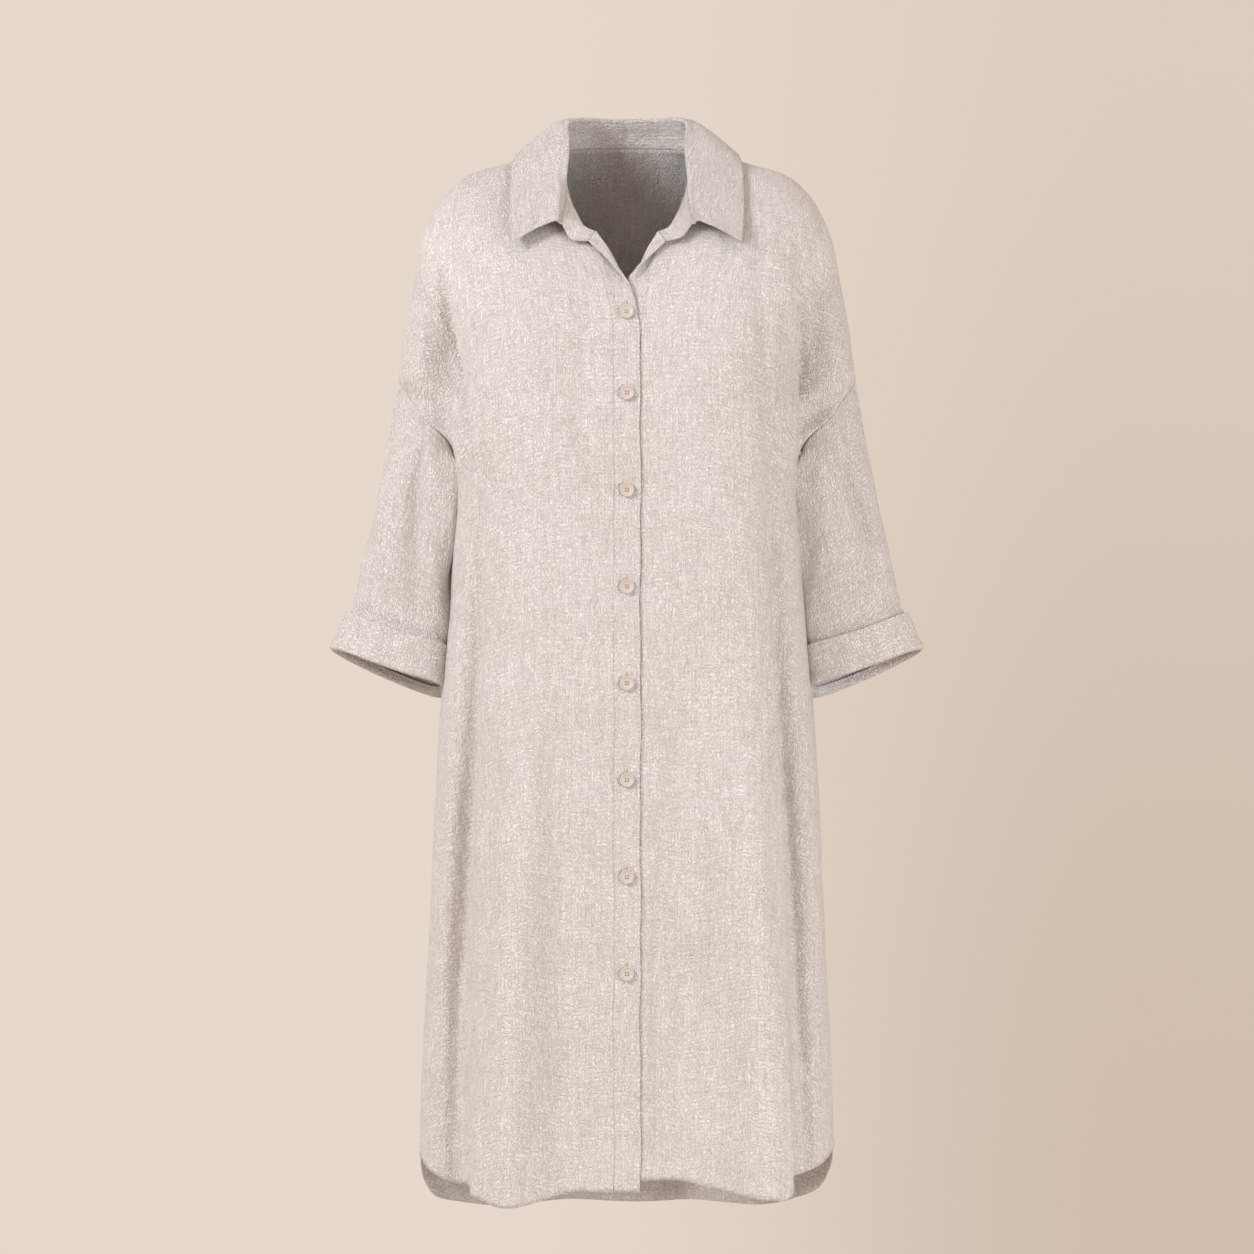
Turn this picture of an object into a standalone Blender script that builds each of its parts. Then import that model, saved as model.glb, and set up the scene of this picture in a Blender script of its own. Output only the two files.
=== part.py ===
"""Long linen shirt, worn open at the neck: fronts, back, bands, collar, sleeves, cuffs, buttons.

Frame: metres, +Z up, the wearer faces -Y, +X is the wearer's left. The origin is the middle of
the neck opening, level with the points where the shoulder seams meet the collar. The tables are
in millimetres. Side +1 is the wearer's left and -1 the right. Each half of the body is a net of
guides that run down the cloth (columns of the tables) crossed by sections (rows).
"""

from collections import namedtuple

import bpy
import numpy as np
from mathutils import Vector

MM = 0.001
WALL = 0.0013
LINEN = (0.72, 0.66, 0.60, 1.0)
LINEN_ROUGHNESS = 0.9
BUTTON_COLOUR = (0.70, 0.62, 0.53, 1.0)
BUTTON_ROUGHNESS = 0.45

# How far each piece stops short of its seam line, so that the walls stay about 0.3 mm apart.
SEAM_TRIM = 0.00016
STAND_TRIM = 0.0009
STAND_TOP_TRIM = 0.0003
LEAF_TRIM = 0.0008
BAND_TRIM = 0.0005
BAND_TOP_TRIM = 0.0004
ARMHOLE_TRIM = 0.0008
# The point next to a seam, which holds the cloth's direction there.
SEAM_LEAD = 0.005
LEAF_LEAD = 0.003

BAND_WIDTH = 0.027
BAND_COLUMNS = 9
BAND_LEAD = 0.012
BAND_LAP = 0.0003
# A band narrower than FLAT from roll to free edge opens its fold by up to TURN_SPACE.
TURN_FLAT = 0.0135
TURN_FULL = 0.0095
TURN_SPACE = 0.0018
TURN_ROUND = 0.0013
TURN_SHARE = 0.3
# The bands lie in two layers; the next guide of the front follows its band by a share.
LAYER_STEP = 0.0009
LAYER_FADE = 0.3
SEAM_Y = 0.006

BUTTON_RADIUS = 0.0075
BUTTON_THICKNESS = 0.0030
BUTTON_FIRST_Z = -0.1817
BUTTON_SECOND_Z = -0.2655
BUTTON_SPACING = 0.0993
BUTTON_COUNT = 8
BUTTON_LIFT = 0.0003
# From the middle of the face over the rim to the middle of the underside, as shares of the
# radius and of the thickness.
BUTTON_OUTLINE = ((0.0, 0.72), (0.50, 0.72), (0.62, 0.95), (0.80, 1.0), (0.97, 0.78),
                  (1.0, 0.45), (0.86, 0.0), (0.0, 0.0))

# Upper half of one front. Guides from the band seam to the seam at the shoulder or armhole.
Front = namedtuple("Front", "row band chest side crease arm edge")
FRONT = (
    Front("neck", (44, -96, -98), (60, -84, -84), (70, -63, -58), (76, -38, -31),
          (79, -16, -10), (79, 4, 0)),
    Front("shoulder", (29.6, -113, -129), (80, -110, -114), (107, -86, -82), (121, -55, -50),
          (127, -26, -24), (128, 4, -14)),
    Front("shoulder_end", (21, -121, -158), (87, -122, -146), (128, -107, -116), (158, -80, -84),
          (175, -42, -50), (178, 4, -33)),
    Front("upper_arm", (15, -127, -190), (90, -130, -183), (142, -116, -162), (178, -86, -134),
          (205, -54, -98), (211, 4, -80)),
    Front("mid_arm", (13.5, -132, -222), (92, -136, -220), (148, -119, -206), (185, -68, -186),
          (214, -58, -166), (229, 4, -155)),
    Front("drop", (13.5, -136, -258), (94, -139, -258), (151, -119, -250), (186, -54, -240),
          (216, -56, -240), (243, 4, -245)),
    Front("armhole", (13.5, -138, -290), (95, -139, -290), (151, -117, -285), (180, -70, -282),
          (190, -53, -284), (212, -54, -287)),
    Front("armhole_low", (13.5, -138, -322), (95, -138, -322), (150, -113, -319), (171, -86, -318),
          (179, -67, -317), (184, -50, -317)),
    Front("underarm_side", (13.5, -137, -355), (95, -137, -355), (147, -108, -353),
          (168, -82, -352), (177, -58, -351), (182, -32, -350)),
    Front("underarm", (13.5, -137, -382), (95, -136, -382), (146, -106, -381), (168, -78, -378),
          (180, -40, -374), (188, 6, -370)),
)

# Upper half of one back, from the middle of the back to the same seams.
Back = namedtuple("Back", "row centre blade side crease arm edge")
BACK = (
    Back("neck", (0, 75, 10), (30, 68, 9), (54, 50, 6), (68, 32, 3), (76, 18, 1), (79, 4, 0)),
    Back("shoulder", (0, 94, -38), (48, 92, -36), (88, 76, -32), (110, 54, -25),
         (122, 30, -18), (128, 4, -14)),
    Back("shoulder_end", (0, 106, -84), (64, 108, -82), (118, 94, -74), (150, 72, -60),
         (171, 40, -44), (178, 4, -33)),
    Back("upper_arm", (0, 113, -130), (76, 116, -132), (140, 106, -124), (176, 86, -108),
         (202, 52, -92), (211, 4, -80)),
    Back("mid_arm", (0, 117, -180), (82, 120, -182), (150, 110, -182), (188, 82, -172),
         (215, 60, -162), (229, 4, -155)),
    Back("drop", (0, 119, -235), (84, 121, -238), (152, 110, -242), (188, 78, -244),
         (218, 66, -244), (243, 4, -245)),
    Back("armhole", (0, 119, -275), (84, 121, -278), (152, 108, -284), (180, 86, -288),
         (194, 74, -289), (213, 62, -290)),
    Back("armhole_low", (0, 119, -312), (84, 120, -315), (150, 105, -319), (170, 90, -320),
         (180, 76, -320), (186, 60, -320)),
    Back("underarm_side", (0, 119, -350), (84, 120, -352), (148, 103, -353), (167, 86, -353),
         (177, 66, -352), (183, 42, -350)),
    Back("underarm", (0, 119, -382), (84, 120, -382), (146, 102, -380), (168, 80, -377),
         (180, 48, -373), (188, 6, -370)),
)

# Level sections below the underarm: half width, depth in front and behind, squareness.
Section = namedtuple("Section", "z half front back square")
BODY = (
    Section(-370, 183, 137, 119, 3.0),
    Section(-450, 187, 137, 119.5, 3.0),
    Section(-520, 190.5, 136.5, 120, 2.9),
    Section(-583, 196, 136.5, 121, 2.8),
    Section(-690, 203.5, 137, 122, 2.7),
    Section(-795, 207.5, 138, 124, 2.6),
    Section(-900, 213.5, 139, 126, 2.5),
    Section(-1000, 218.5, 140, 128, 2.5),
    Section(-1130, 221, 141, 130, 2.5),
)
SIDE_SEAM_LEVELS = (-379, -400, -440, -500, -580, -680, -780, -880, -980)
FRONT_SHARES = (None, 0.52, 0.80, 0.93, 0.988, 1.0)
BACK_SHARES = (0.0, 0.46, 0.80, 0.93, 0.985, 1.0)

# The shirt-tail hem: its height at each guide.
HEM_FRONT = {-1: (-1085, -1089, -1079, -1073, -1066, -1061),
             +1: (-1073, -1082, -1071, -1063, -1057, -1053)}
HEM_BACK = {-1: (-1131, -1132, -1128, -1118, -1095, -1061),
            +1: (-1131, -1132, -1124, -1110, -1085, -1053)}

# Folds that fall from the bust and blades: place across, width and height at top and bottom.
Fold = namedtuple("Fold", "place x_top x_end wide_top wide_end out top full")
FOLDS = (
    Fold("front", -94, -116, 26, 31, 33, -420, -1060),
    Fold("front", -158, -178, 12, 17, -15, -430, -900),
    Fold("front", -44, -52, 20, 24, -5, -520, -900),
    Fold("front", 106, 132, 24, 29, 33, -400, -1060),
    Fold("front", 150, 174, 12, 15, -15, -330, -900),
    Fold("front", 46, 54, 18, 22, -9, -440, -800),
    Fold("back", -108, -128, 28, 34, 24, -330, -1080),
    Fold("back", -60, -66, 22, 28, -14, -360, -900),
    Fold("back", -4, 6, 26, 36, 16, -420, -1080),
    Fold("back", 58, 72, 22, 28, -16, -380, -900),
    Fold("back", 112, 136, 26, 32, 26, -350, -1080),
)
FOLD_HANG = 0.28

# The turned-back edge of the open neck: the roll and the free edge, by row of the fronts.
Turn = namedtuple("Turn", "row roll free")
TURN = {
    -1: (Turn(0, (33, -97, -96), (40, -108, -107)),
         Turn(1, (17, -107, -120), (20, -114, -127)),
         Turn(1.5, (10, -110, -134), (8.5, -118, -140)),
         Turn(2, (3, -114, -147), (-2, -121, -153)),
         Turn(3, (1.5, -127, -190), (-12, -127, -190)),
         Turn(4, (0, -132, -222), (-13.8, -132, -222))),
    +1: (Turn(0, (33, -97, -96), (40, -108, -107)),
         Turn(1, (19, -107, -121), (23, -114, -124)),
         Turn(1.5, (14, -112, -136), (11, -119, -135)),
         Turn(2, (10, -117, -151), (1.5, -114, -145)),
         Turn(3, (1.5, -126, -190), (-12, -125, -190)),
         Turn(4, (0, -132, -222), (-13.8, -132, -222))),
}

# Collar stand: its seam on the neckline, its middle and its top, from the back to the front end.
Stand = namedtuple("Stand", "place seam middle top")
STAND = (
    Stand("centre_back", (0, 75, 10), (0, 73, 23), (0, 68, 36)),
    Stand("back", (30, 68, 9), (29, 66, 23), (28, 62, 36)),
    Stand("back_side", (60, 43, 5), (56, 42, 20), (51, 40, 34)),
    Stand("shoulder", (79, 4, 0), (74, 5, 12), (65, 6, 24)),
    Stand("side", (78.5, -22, -16), (74, -20, -3), (64.5, -18, 6)),
    Stand("front_side", (74, -47, -41), (68, -43, -28), (64, -42, -19)),
    Stand("front", (61, -83, -82), (57, -74, -66), (64, -70, -54)),
    Stand("seam_end", (44, -96, -98), (48, -86, -85), (66, -85, -73)),
    Stand("roll_end", (33, -97, -96), (46, -100, -92), (68, -97, -81)),
    Stand("front_end", (40, -108, -107), (53, -110, -103), (67, -104, -89)),
)

# Collar leaf: where it turns over the stand and its outer edge, from the back to the point.
Leaf = namedtuple("Leaf", "place crest outer")
LEAF = (
    Leaf("centre_back", (0, 76, 41), (0, 107, -14)),
    Leaf("back", (30, 70, 41), (48, 101, -12)),
    Leaf("back_side", (57, 46, 39), (88, 72, -7)),
    Leaf("shoulder", (72, 8, 29), (113, 24, 1)),
    Leaf("side", (71, -18, 11), (120, -22, -14)),
    Leaf("front_side", (70, -45, -15), (122, -62, -50)),
    Leaf("front", (69, -76, -50), (121, -100, -88)),
    Leaf("point", (71, -107, -87), (118, -121, -109)),
)

# Sleeve rings below the armhole: outer and inner points, middle depth, half depth, front lift.
Ring = namedtuple("Ring", "outer_x outer_z inner_x inner_z middle_y depth lift")
SLEEVE = (
    Ring(243, -245, 188, -370, 5, 58, 0),
    Ring(251, -290, 192.5, -378, 8, 60, 0),
    Ring(265, -365, 188.5, -425, 12, 58, 1),
    Ring(280.5, -433, 191.5, -488, 13, 53, 2),
    Ring(294, -488, 196.5, -535, 12, 48.5, 4),
    Ring(307, -518, 199.5, -566, 11, 46.5, 4),
)
CUFF_TOP = Ring(299.5, -490, 194.4, -534, 12, 50.8, 4)
CUFF_BOTTOM = Ring(315, -529, 197.2, -580, 11, 50.5, 4)
CUFF_SPACE = 0.0032
CUFF_LIP = 0.22
CUFF_SAG = 0.0008

# Soft folds down a sleeve: where round it (turn, in radians), how wide, and how far out in mm.
Soft = namedtuple("Soft", "side turn wide out")
SLEEVE_FOLDS = (
    Soft(-1, 0.9, 0.22, 2.6),
    Soft(-1, 2.3, 0.30, -4.0),
    Soft(1, 1.1, 0.24, -3.6),
    Soft(1, 1.9, 0.26, 3.0),
)

# How finely each piece is divided.
DENSE = 90
FRONT_COLUMNS = 14
BACK_COLUMNS = 26
UPPER_STEPS = (2, 2, 2, 2, 2, 2, 2, 2, 2)
LOWER_ROWS = 11
SLEEVE_RINGS = 10
FIRST_RING = 0.3
STAND_COLUMNS = 13
STAND_ROWS = 6
STAND_FINE = 8
STAND_DENSE = 30
LEAF_DENSE = 120
LEAF_TURNED = 35
LEAF_ROWS = 5
CUFF_SHARES = (0.0, 0.35, 0.7, 1.0)
LIP_SHARES = (0.0, 0.8)
BUTTON_STEPS = 16

# The leaf rises from the stand, turns over, and swells a little on its way to the edge.
LEAF_RISE = 0.0035
LEAF_SWELL = ((0.33, 0.0035), (0.68, 0.0025))


def through(points, places, at):
    """A smooth curve through the points, each at its own place, read at other places."""
    points, places, at = (np.asarray(v, float) for v in (points, places, at))
    steps = np.diff(places).reshape((-1,) + (1,) * (points.ndim - 1))
    chords = np.diff(points, axis=0) / steps
    slopes = np.empty_like(points)
    slopes[0], slopes[-1] = chords[0], chords[-1]
    slopes[1:-1] = (chords[:-1] * steps[1:] + chords[1:] * steps[:-1]) / (steps[1:] + steps[:-1])
    span = np.clip(np.searchsorted(places, at, side="right") - 1, 0, len(places) - 2)
    shape = (-1,) + (1,) * (points.ndim - 1)
    step = (places[span + 1] - places[span]).reshape(shape)
    t = ((at - places[span]) / (places[span + 1] - places[span])).reshape(shape)
    start, end = points[span], points[span + 1]
    return (start * (2 * t**3 - 3 * t**2 + 1) + slopes[span] * step * (t**3 - 2 * t**2 + t)
            + end * (3 * t**2 - 2 * t**3) + slopes[span + 1] * step * (t**3 - t**2))


def read(line, places, at):
    """Points of a dense line read at other places along it."""
    return np.stack([np.interp(at, places, line[:, k]) for k in range(3)], axis=-1)


def lengths(points):
    """Distances along a line of points, from its first point."""
    return np.concatenate([[0], np.cumsum(np.linalg.norm(np.diff(points, axis=0), axis=1))])


def spread(points, count, first=0.0, last=0.0, lead=(0.0, 0.0)):
    """The line of points again, with `count` points evenly apart and its ends drawn in.

    A lead adds a point that near to an end, so that the cloth keeps its direction there.
    """
    along = lengths(points)
    start, end = first, along[-1] - last
    inner = np.linspace(lead[0] or start, along[-1] - lead[1] if lead[1] else end, count)
    at = np.concatenate([[start] * bool(lead[0]), inner, [end] * bool(lead[1])])
    return read(points, along, at)


def ease(value, start, end):
    """0 before start and 1 after end, turning softly between."""
    t = np.clip((value - start) / (end - start), 0, 1)
    return t * t * (3 - 2 * t)


def section_at(z):
    """Half width, front depth, back depth and squareness of the body at a height in mm."""
    rows = np.array(BODY)[::-1]
    return [np.interp(z, rows[:, 0], rows[:, k]) for k in range(1, 5)]


def below_underarm(upper, shares, hem, is_front):
    """Guide points for the lower rows of one half, from the underarm row to the hem."""
    levels = list(SIDE_SEAM_LEVELS) + [hem[-1]]
    start = np.array(upper[-1][1:], float)
    rows = []
    offset = None
    for level in levels:
        down = (level - start[-1, 2]) / (hem[-1] - start[-1, 2])
        row = []
        for guide, share in enumerate(shares):
            z = start[guide, 2] + (hem[guide] - start[guide, 2]) * down
            half, front, back, square = section_at(z)
            across = BAND_WIDTH / 2 / MM / half if share is None else share
            deep = (1 - across**square) ** (1 / square)
            seam = SEAM_Y / MM
            y = seam - (front + seam) * deep if is_front else seam + (back - seam) * deep
            row.append((across * half, y, z))
        row = np.array(row)
        if offset is None:
            offset = (start - row) * np.array([1, 1, 0])
            offset[-1] = 0
        rows.append(row + offset * (1 - ease(-level, 380, 620)))
    return rows


def guides(is_front, side):
    """All guide points of one half (row, guide, xyz) in metres."""
    upper = FRONT if is_front else BACK
    shares = FRONT_SHARES if is_front else BACK_SHARES
    hem = (HEM_FRONT if is_front else HEM_BACK)[side]
    net = np.array([row[1:] for row in upper] + below_underarm(upper, shares, hem, is_front), float)
    if is_front:
        net[:, 0, 1] += side * LAYER_STEP / MM
        net[:, 1, 1] += side * LAYER_STEP / MM * LAYER_FADE
    return net * MM


FRONT_NET = {side: guides(True, side) for side in (-1, 1)}
BACK_NET = {side: guides(False, side) for side in (-1, 1)}
PLACES = np.concatenate([[0], np.cumsum(
    np.linalg.norm(np.diff(FRONT_NET[1], axis=0), axis=2).mean(axis=1))])
DROP, UNDERARM = 5, 9


def seam_through(points, at):
    """The seam guide: it turns sharply at the drop point and at the underarm."""
    parts = []
    for first, last in ((0, DROP), (DROP, UNDERARM), (UNDERARM, len(points) - 1)):
        inside = (at >= PLACES[first]) & ((at < PLACES[last]) | (last == len(points) - 1))
        parts.append(through(points[first : last + 1], PLACES[first : last + 1], at[inside]))
    return np.concatenate(parts)


def row_places():
    """Where the sheets have their rows: finer steps above the underarm, even ones below."""
    upper = [np.linspace(PLACES[k], PLACES[k + 1], n, endpoint=False)
             for k, n in enumerate(UPPER_STEPS)]
    lower = np.linspace(PLACES[UNDERARM + 1], PLACES[-1], LOWER_ROWS)
    return np.concatenate(upper + [[PLACES[UNDERARM]], lower])


def folded(row, place):
    """A dense row of a half body with the falling folds pressed into it."""
    along = np.gradient(row[:, :2], axis=0)
    normal = np.stack([along[:, 1], -along[:, 0]], axis=1)
    normal /= np.linalg.norm(normal, axis=1)[:, None]
    outward = np.sign((normal * (row[:, :2] - (0, SEAM_Y))).sum(axis=1))
    x, z = row[:, 0] / MM, row[:, 2] / MM
    out = np.zeros(len(row))
    for fold in FOLDS:
        if fold.place != place:
            continue
        down = ease(-z, -fold.top, -fold.full)
        middle = fold.x_top + (fold.x_end - fold.x_top) * down
        wide = fold.wide_top + (fold.wide_end - fold.wide_top) * down
        out += fold.out * down * np.exp(-(((x - middle) / wide) ** 2))
    result = row.copy()
    result[:, :2] += (normal * outward[:, None]) * out[:, None] * MM
    result[:, 2] -= FOLD_HANG * out * MM * ease(-z, 900, 1080)
    return result


def half_sheet(is_front, side):
    """Dense rows of one half (row, point, xyz) from the middle to the seam."""
    net = (FRONT_NET if is_front else BACK_NET)[side]
    other = (BACK_NET if is_front else FRONT_NET)[side]
    at = row_places()
    beyond = 2 * net[:, -1] - net[:, -2]
    shared = [k for k in range(len(net)) if k <= DROP or k >= UNDERARM]
    beyond[shared] = other[shared, -2]
    before = net[:, 1].copy()
    before[:, 0] = -net[:, 1, 0] if not is_front else 2 * net[:, 0, 0] - net[:, 1, 0]
    guides_down = [through(line, PLACES, at) for line in (before, *net[:, :-1].swapaxes(0, 1))]
    guides_down += [seam_through(net[:, -1], at), seam_through(beyond, at)]
    rows = []
    for k in range(len(at)):
        points = np.array([g[k] for g in guides_down])
        along = lengths(points)
        row = through(points, along, np.linspace(along[1], along[-2], DENSE))
        row[:, 0] *= side
        rows.append(folded(row, "front" if is_front else "back"))
    return np.array(rows)


def trimmed(rows, first=SEAM_TRIM, last=SEAM_TRIM):
    """Draws the top and bottom rows in by the seam trim."""
    rows = np.array(rows)
    for end, inner, amount in ((0, 1, first), (-1, -2, last)):
        step = rows[inner] - rows[end]
        rows[end] += step / np.linalg.norm(step, axis=1)[:, None] * amount
    return rows


def plain_material(name, colour, roughness):
    material = bpy.data.materials.new(name)
    material.use_nodes = True
    shader = material.node_tree.nodes["Principled BSDF"]
    shader.inputs["Base Color"].default_value = colour
    shader.inputs["Roughness"].default_value = roughness
    shader.inputs["Metallic"].default_value = 0.0
    return material


def loft(name, rows, collection, flip=False, closed=False, offset=-1.0):
    """A wall of cloth: an open sheet lofted through rows of points, thickened by Solidify."""
    rows = np.asarray(rows)
    count, width = rows.shape[:2]
    mesh = bpy.data.meshes.new(name)
    faces = []
    for i in range(count - 1):
        for j in range(width if closed else width - 1):
            k = (j + 1) % width
            face = (i * width + j, (i + 1) * width + j, (i + 1) * width + k, i * width + k)
            faces.append(face[::-1] if flip else face)
    mesh.from_pydata(rows.reshape(-1, 3).tolist(), [], faces)
    mesh.shade_smooth()
    piece = bpy.data.objects.new(name, mesh)
    collection.objects.link(piece)
    wall = piece.modifiers.new("wall", "SOLIDIFY")
    wall.thickness = WALL
    wall.offset = offset
    mesh.materials.append(plain_material(name + "_linen", LINEN, LINEN_ROUGHNESS))
    return piece


def fronts(collection):
    """The two fronts. Returns each one's dense rows, which the bands and sleeves start from."""
    sheets = {}
    for side, name in ((-1, "front_right"), (1, "front_left")):
        sheets[side] = half_sheet(True, side)
        rows = [spread(row, FRONT_COLUMNS, SEAM_TRIM, SEAM_TRIM * 1.8, (0, SEAM_LEAD))
                for row in sheets[side]]
        loft(name, trimmed(rows, last=0), collection, flip=side < 0)
    return sheets


def back(collection):
    """The back in one piece, from side seam to side seam."""
    right, left = half_sheet(False, -1), half_sheet(False, 1)
    rows = [spread(np.concatenate([a[::-1], b[1:]]), BACK_COLUMNS, SEAM_TRIM * 1.4,
                   SEAM_TRIM * 1.4, (SEAM_LEAD, SEAM_LEAD)) for a, b in zip(right, left)]
    loft("back", trimmed(rows, last=0), collection, flip=True)
    return {-1: right, 1: left}


def turned_edge(side, seams, at):
    """Roll and free edge of a band beside the rows of its front."""
    table = TURN[side]
    turns = np.array([(turn.roll, turn.free) for turn in table], float) * MM
    turns[:, :, 0] *= side
    turns[:, :, 1] += side * LAYER_STEP
    places = np.interp([turn.row for turn in table], range(len(PLACES)), PLACES)
    rolls = through(turns, places, at)
    below = at > places[-1]
    half = BAND_WIDTH / 2 + BAND_LAP
    for k in np.flatnonzero(below):
        rolls[k, 0] = (0, seams[k, 1], seams[k, 2])
        rolls[k, 1] = (-side * half, seams[k, 1], seams[k, 2])
    return rolls[:, 0], rolls[:, 1]


def bands(collection, sheets):
    """The two front bands, turned back along the open neck and flat below it."""
    edges = {}
    for side, name in ((-1, "band_right"), (1, "band_left")):
        seams = sheets[side][:, 0]
        rolls, frees = turned_edge(side, seams, row_places())
        rows = []
        for seam, roll, free, nearby in zip(seams, rolls, frees, sheets[side][:, 1]):
            before = seam + (nearby - seam) / np.linalg.norm(nearby - seam) * BAND_LEAD
            turned = (TURN_FLAT - np.linalg.norm(roll - free)) / (TURN_FLAT - TURN_FULL)
            space = (0, np.clip(turned, 0, 1) * TURN_SPACE, 0)
            under = roll + (seam - roll) * TURN_SHARE + space
            over = roll + (free - roll) * TURN_SHARE - np.array(space)
            points = np.array([before, seam, under, roll, over, free])
            _, start, near, fold, far, end = along = lengths(points)
            columns = (start, (start + near) / 2, near, fold - TURN_ROUND, fold,
                       fold + TURN_ROUND, far, (far + end) / 2, end)
            rows.append(through(points, along, columns))
        edges[side] = rows = np.array(rows)
        drawn = rows.copy()
        inward = rows[:, 1] - rows[:, 0]
        drawn[:, 0] += inward / np.linalg.norm(inward, axis=1)[:, None] * BAND_TRIM
        loft(name, trimmed(drawn, BAND_TOP_TRIM, 0), collection, flip=side > 0)
    return edges


def neckline(back_sheet, front_sheet, band):
    """The neck seam of one half: from the middle of the back to the band's free edge."""
    return np.concatenate([back_sheet[0], front_sheet[0, -2::-1], band[0, 1:]])


def collar_stand(collection, back_sheets, front_sheets, band_sheets):
    """The stand, from one turned-back front end round the neck to the other."""
    halves = {}
    for side in (-1, 1):
        seam = neckline(back_sheets[side], front_sheets[side], band_sheets[side])
        along = lengths(seam)
        table = np.array([(row.seam, row.middle, row.top) for row in STAND], float) * MM
        table[:, :, 0] *= side
        at_seam = [along[np.argmin(np.linalg.norm(seam - point, axis=1))] for point in table[:-3, 0]]
        ends = along[-BAND_COLUMNS:]
        places = np.array(at_seam + [ends[0], ends[BAND_COLUMNS // 2], ends[-1]])
        at = np.concatenate([np.linspace(0, places[7], STAND_COLUMNS, endpoint=False), ends])
        at = np.interp(np.arange(0, len(at) - 1 + 0.5 / STAND_FINE, 1 / STAND_FINE),
                       np.arange(len(at)), at)
        net = through(table, places, at)
        net[:, 0] = read(seam, along, at)
        halves[side] = net
    sheet = []
    for column in np.concatenate([halves[-1][:0:-1], halves[1]]):
        along = lengths(column)
        sheet.append(through(column, along, np.linspace(0, along[-1], STAND_DENSE)))
    rows = [spread(line, STAND_ROWS, STAND_TRIM, STAND_TOP_TRIM) for line in sheet[::STAND_FINE]]
    loft("collar_stand", rows, collection, offset=0.0)
    return np.array(sheet)


def collar_leaf(collection, stand):
    """The leaf, which turns over the top of the stand and lies on the shoulders."""
    top, below = stand[:, -1], stand[:, -2]
    edge = np.gradient(top, axis=0)
    edge /= np.linalg.norm(edge, axis=1)[:, None]
    rise = top - below
    rise -= (rise * edge).sum(axis=1)[:, None] * edge
    rise /= np.linalg.norm(rise, axis=1)[:, None]
    along = lengths(top)
    middle = along[len(top) // 2]
    stations = [row.top for row in STAND if row.place not in ("seam_end", "roll_end")]
    places = np.array([along[np.argmin(np.linalg.norm(top - np.array(point) * MM, axis=1))]
                       for point in stations]) - middle
    half = np.array([(row.crest, row.outer) for row in LEAF], float) * MM
    whole = np.concatenate([half[:0:-1] * (-1, 1, 1), half])
    at = along[::STAND_FINE] - middle
    edges = through(whole, np.concatenate([-places[:0:-1], places]), at)
    starts, rises = (read(line, along, at + middle) for line in (top, rise))
    rows = []
    for start, up, (crest, outer) in zip(starts, rises, edges):
        away = outer - crest
        swell = [crest + away * share + (0, 0, out) for share, out in LEAF_SWELL]
        line = np.array([start, start + up * LEAF_RISE, crest, *swell, outer])
        along_line = lengths(line)
        dense = through(line, along_line, np.linspace(0, along_line[-1], LEAF_DENSE))
        turned = spread(dense[: LEAF_TURNED + 1], LEAF_ROWS, LEAF_TRIM, lead=(LEAF_LEAD, 0))
        rows.append(np.concatenate([turned, spread(dense[LEAF_TURNED:], LEAF_ROWS)[1:]]))
    loft("collar_leaf", np.array(rows), collection, offset=0.0)


def ring_points(ring, turn, side, inset=0.0):
    """Points of an oval sleeve ring: turn 0 is its outer side, a quarter turn its front."""
    outer = np.array([ring.outer_x, 0, ring.outer_z]) * MM
    inner = np.array([ring.inner_x, 0, ring.inner_z]) * MM
    axis = (outer - inner) / 2
    axis -= axis / np.linalg.norm(axis) * inset
    centre = (outer + inner) / 2 + (0, ring.middle_y * MM, 0)
    deep = np.array([0, -(ring.depth * MM - inset), ring.lift * MM])
    points = centre + np.outer(np.cos(turn), axis) + np.outer(np.sin(turn), deep)
    points[:, 0] *= side
    return points


def mixed(ring_a, ring_b, share):
    return Ring(*(a + (b - a) * share for a, b in zip(ring_a, ring_b)))


def armhole(front_sheet, back_sheet):
    """The armhole seam as a closed line: down the front from the drop point, up the back."""
    first = sum(UPPER_STEPS[:DROP])
    last = sum(UPPER_STEPS)
    return np.concatenate([front_sheet[first:last, -1], back_sheet[last:first:-1, -1]])


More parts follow.
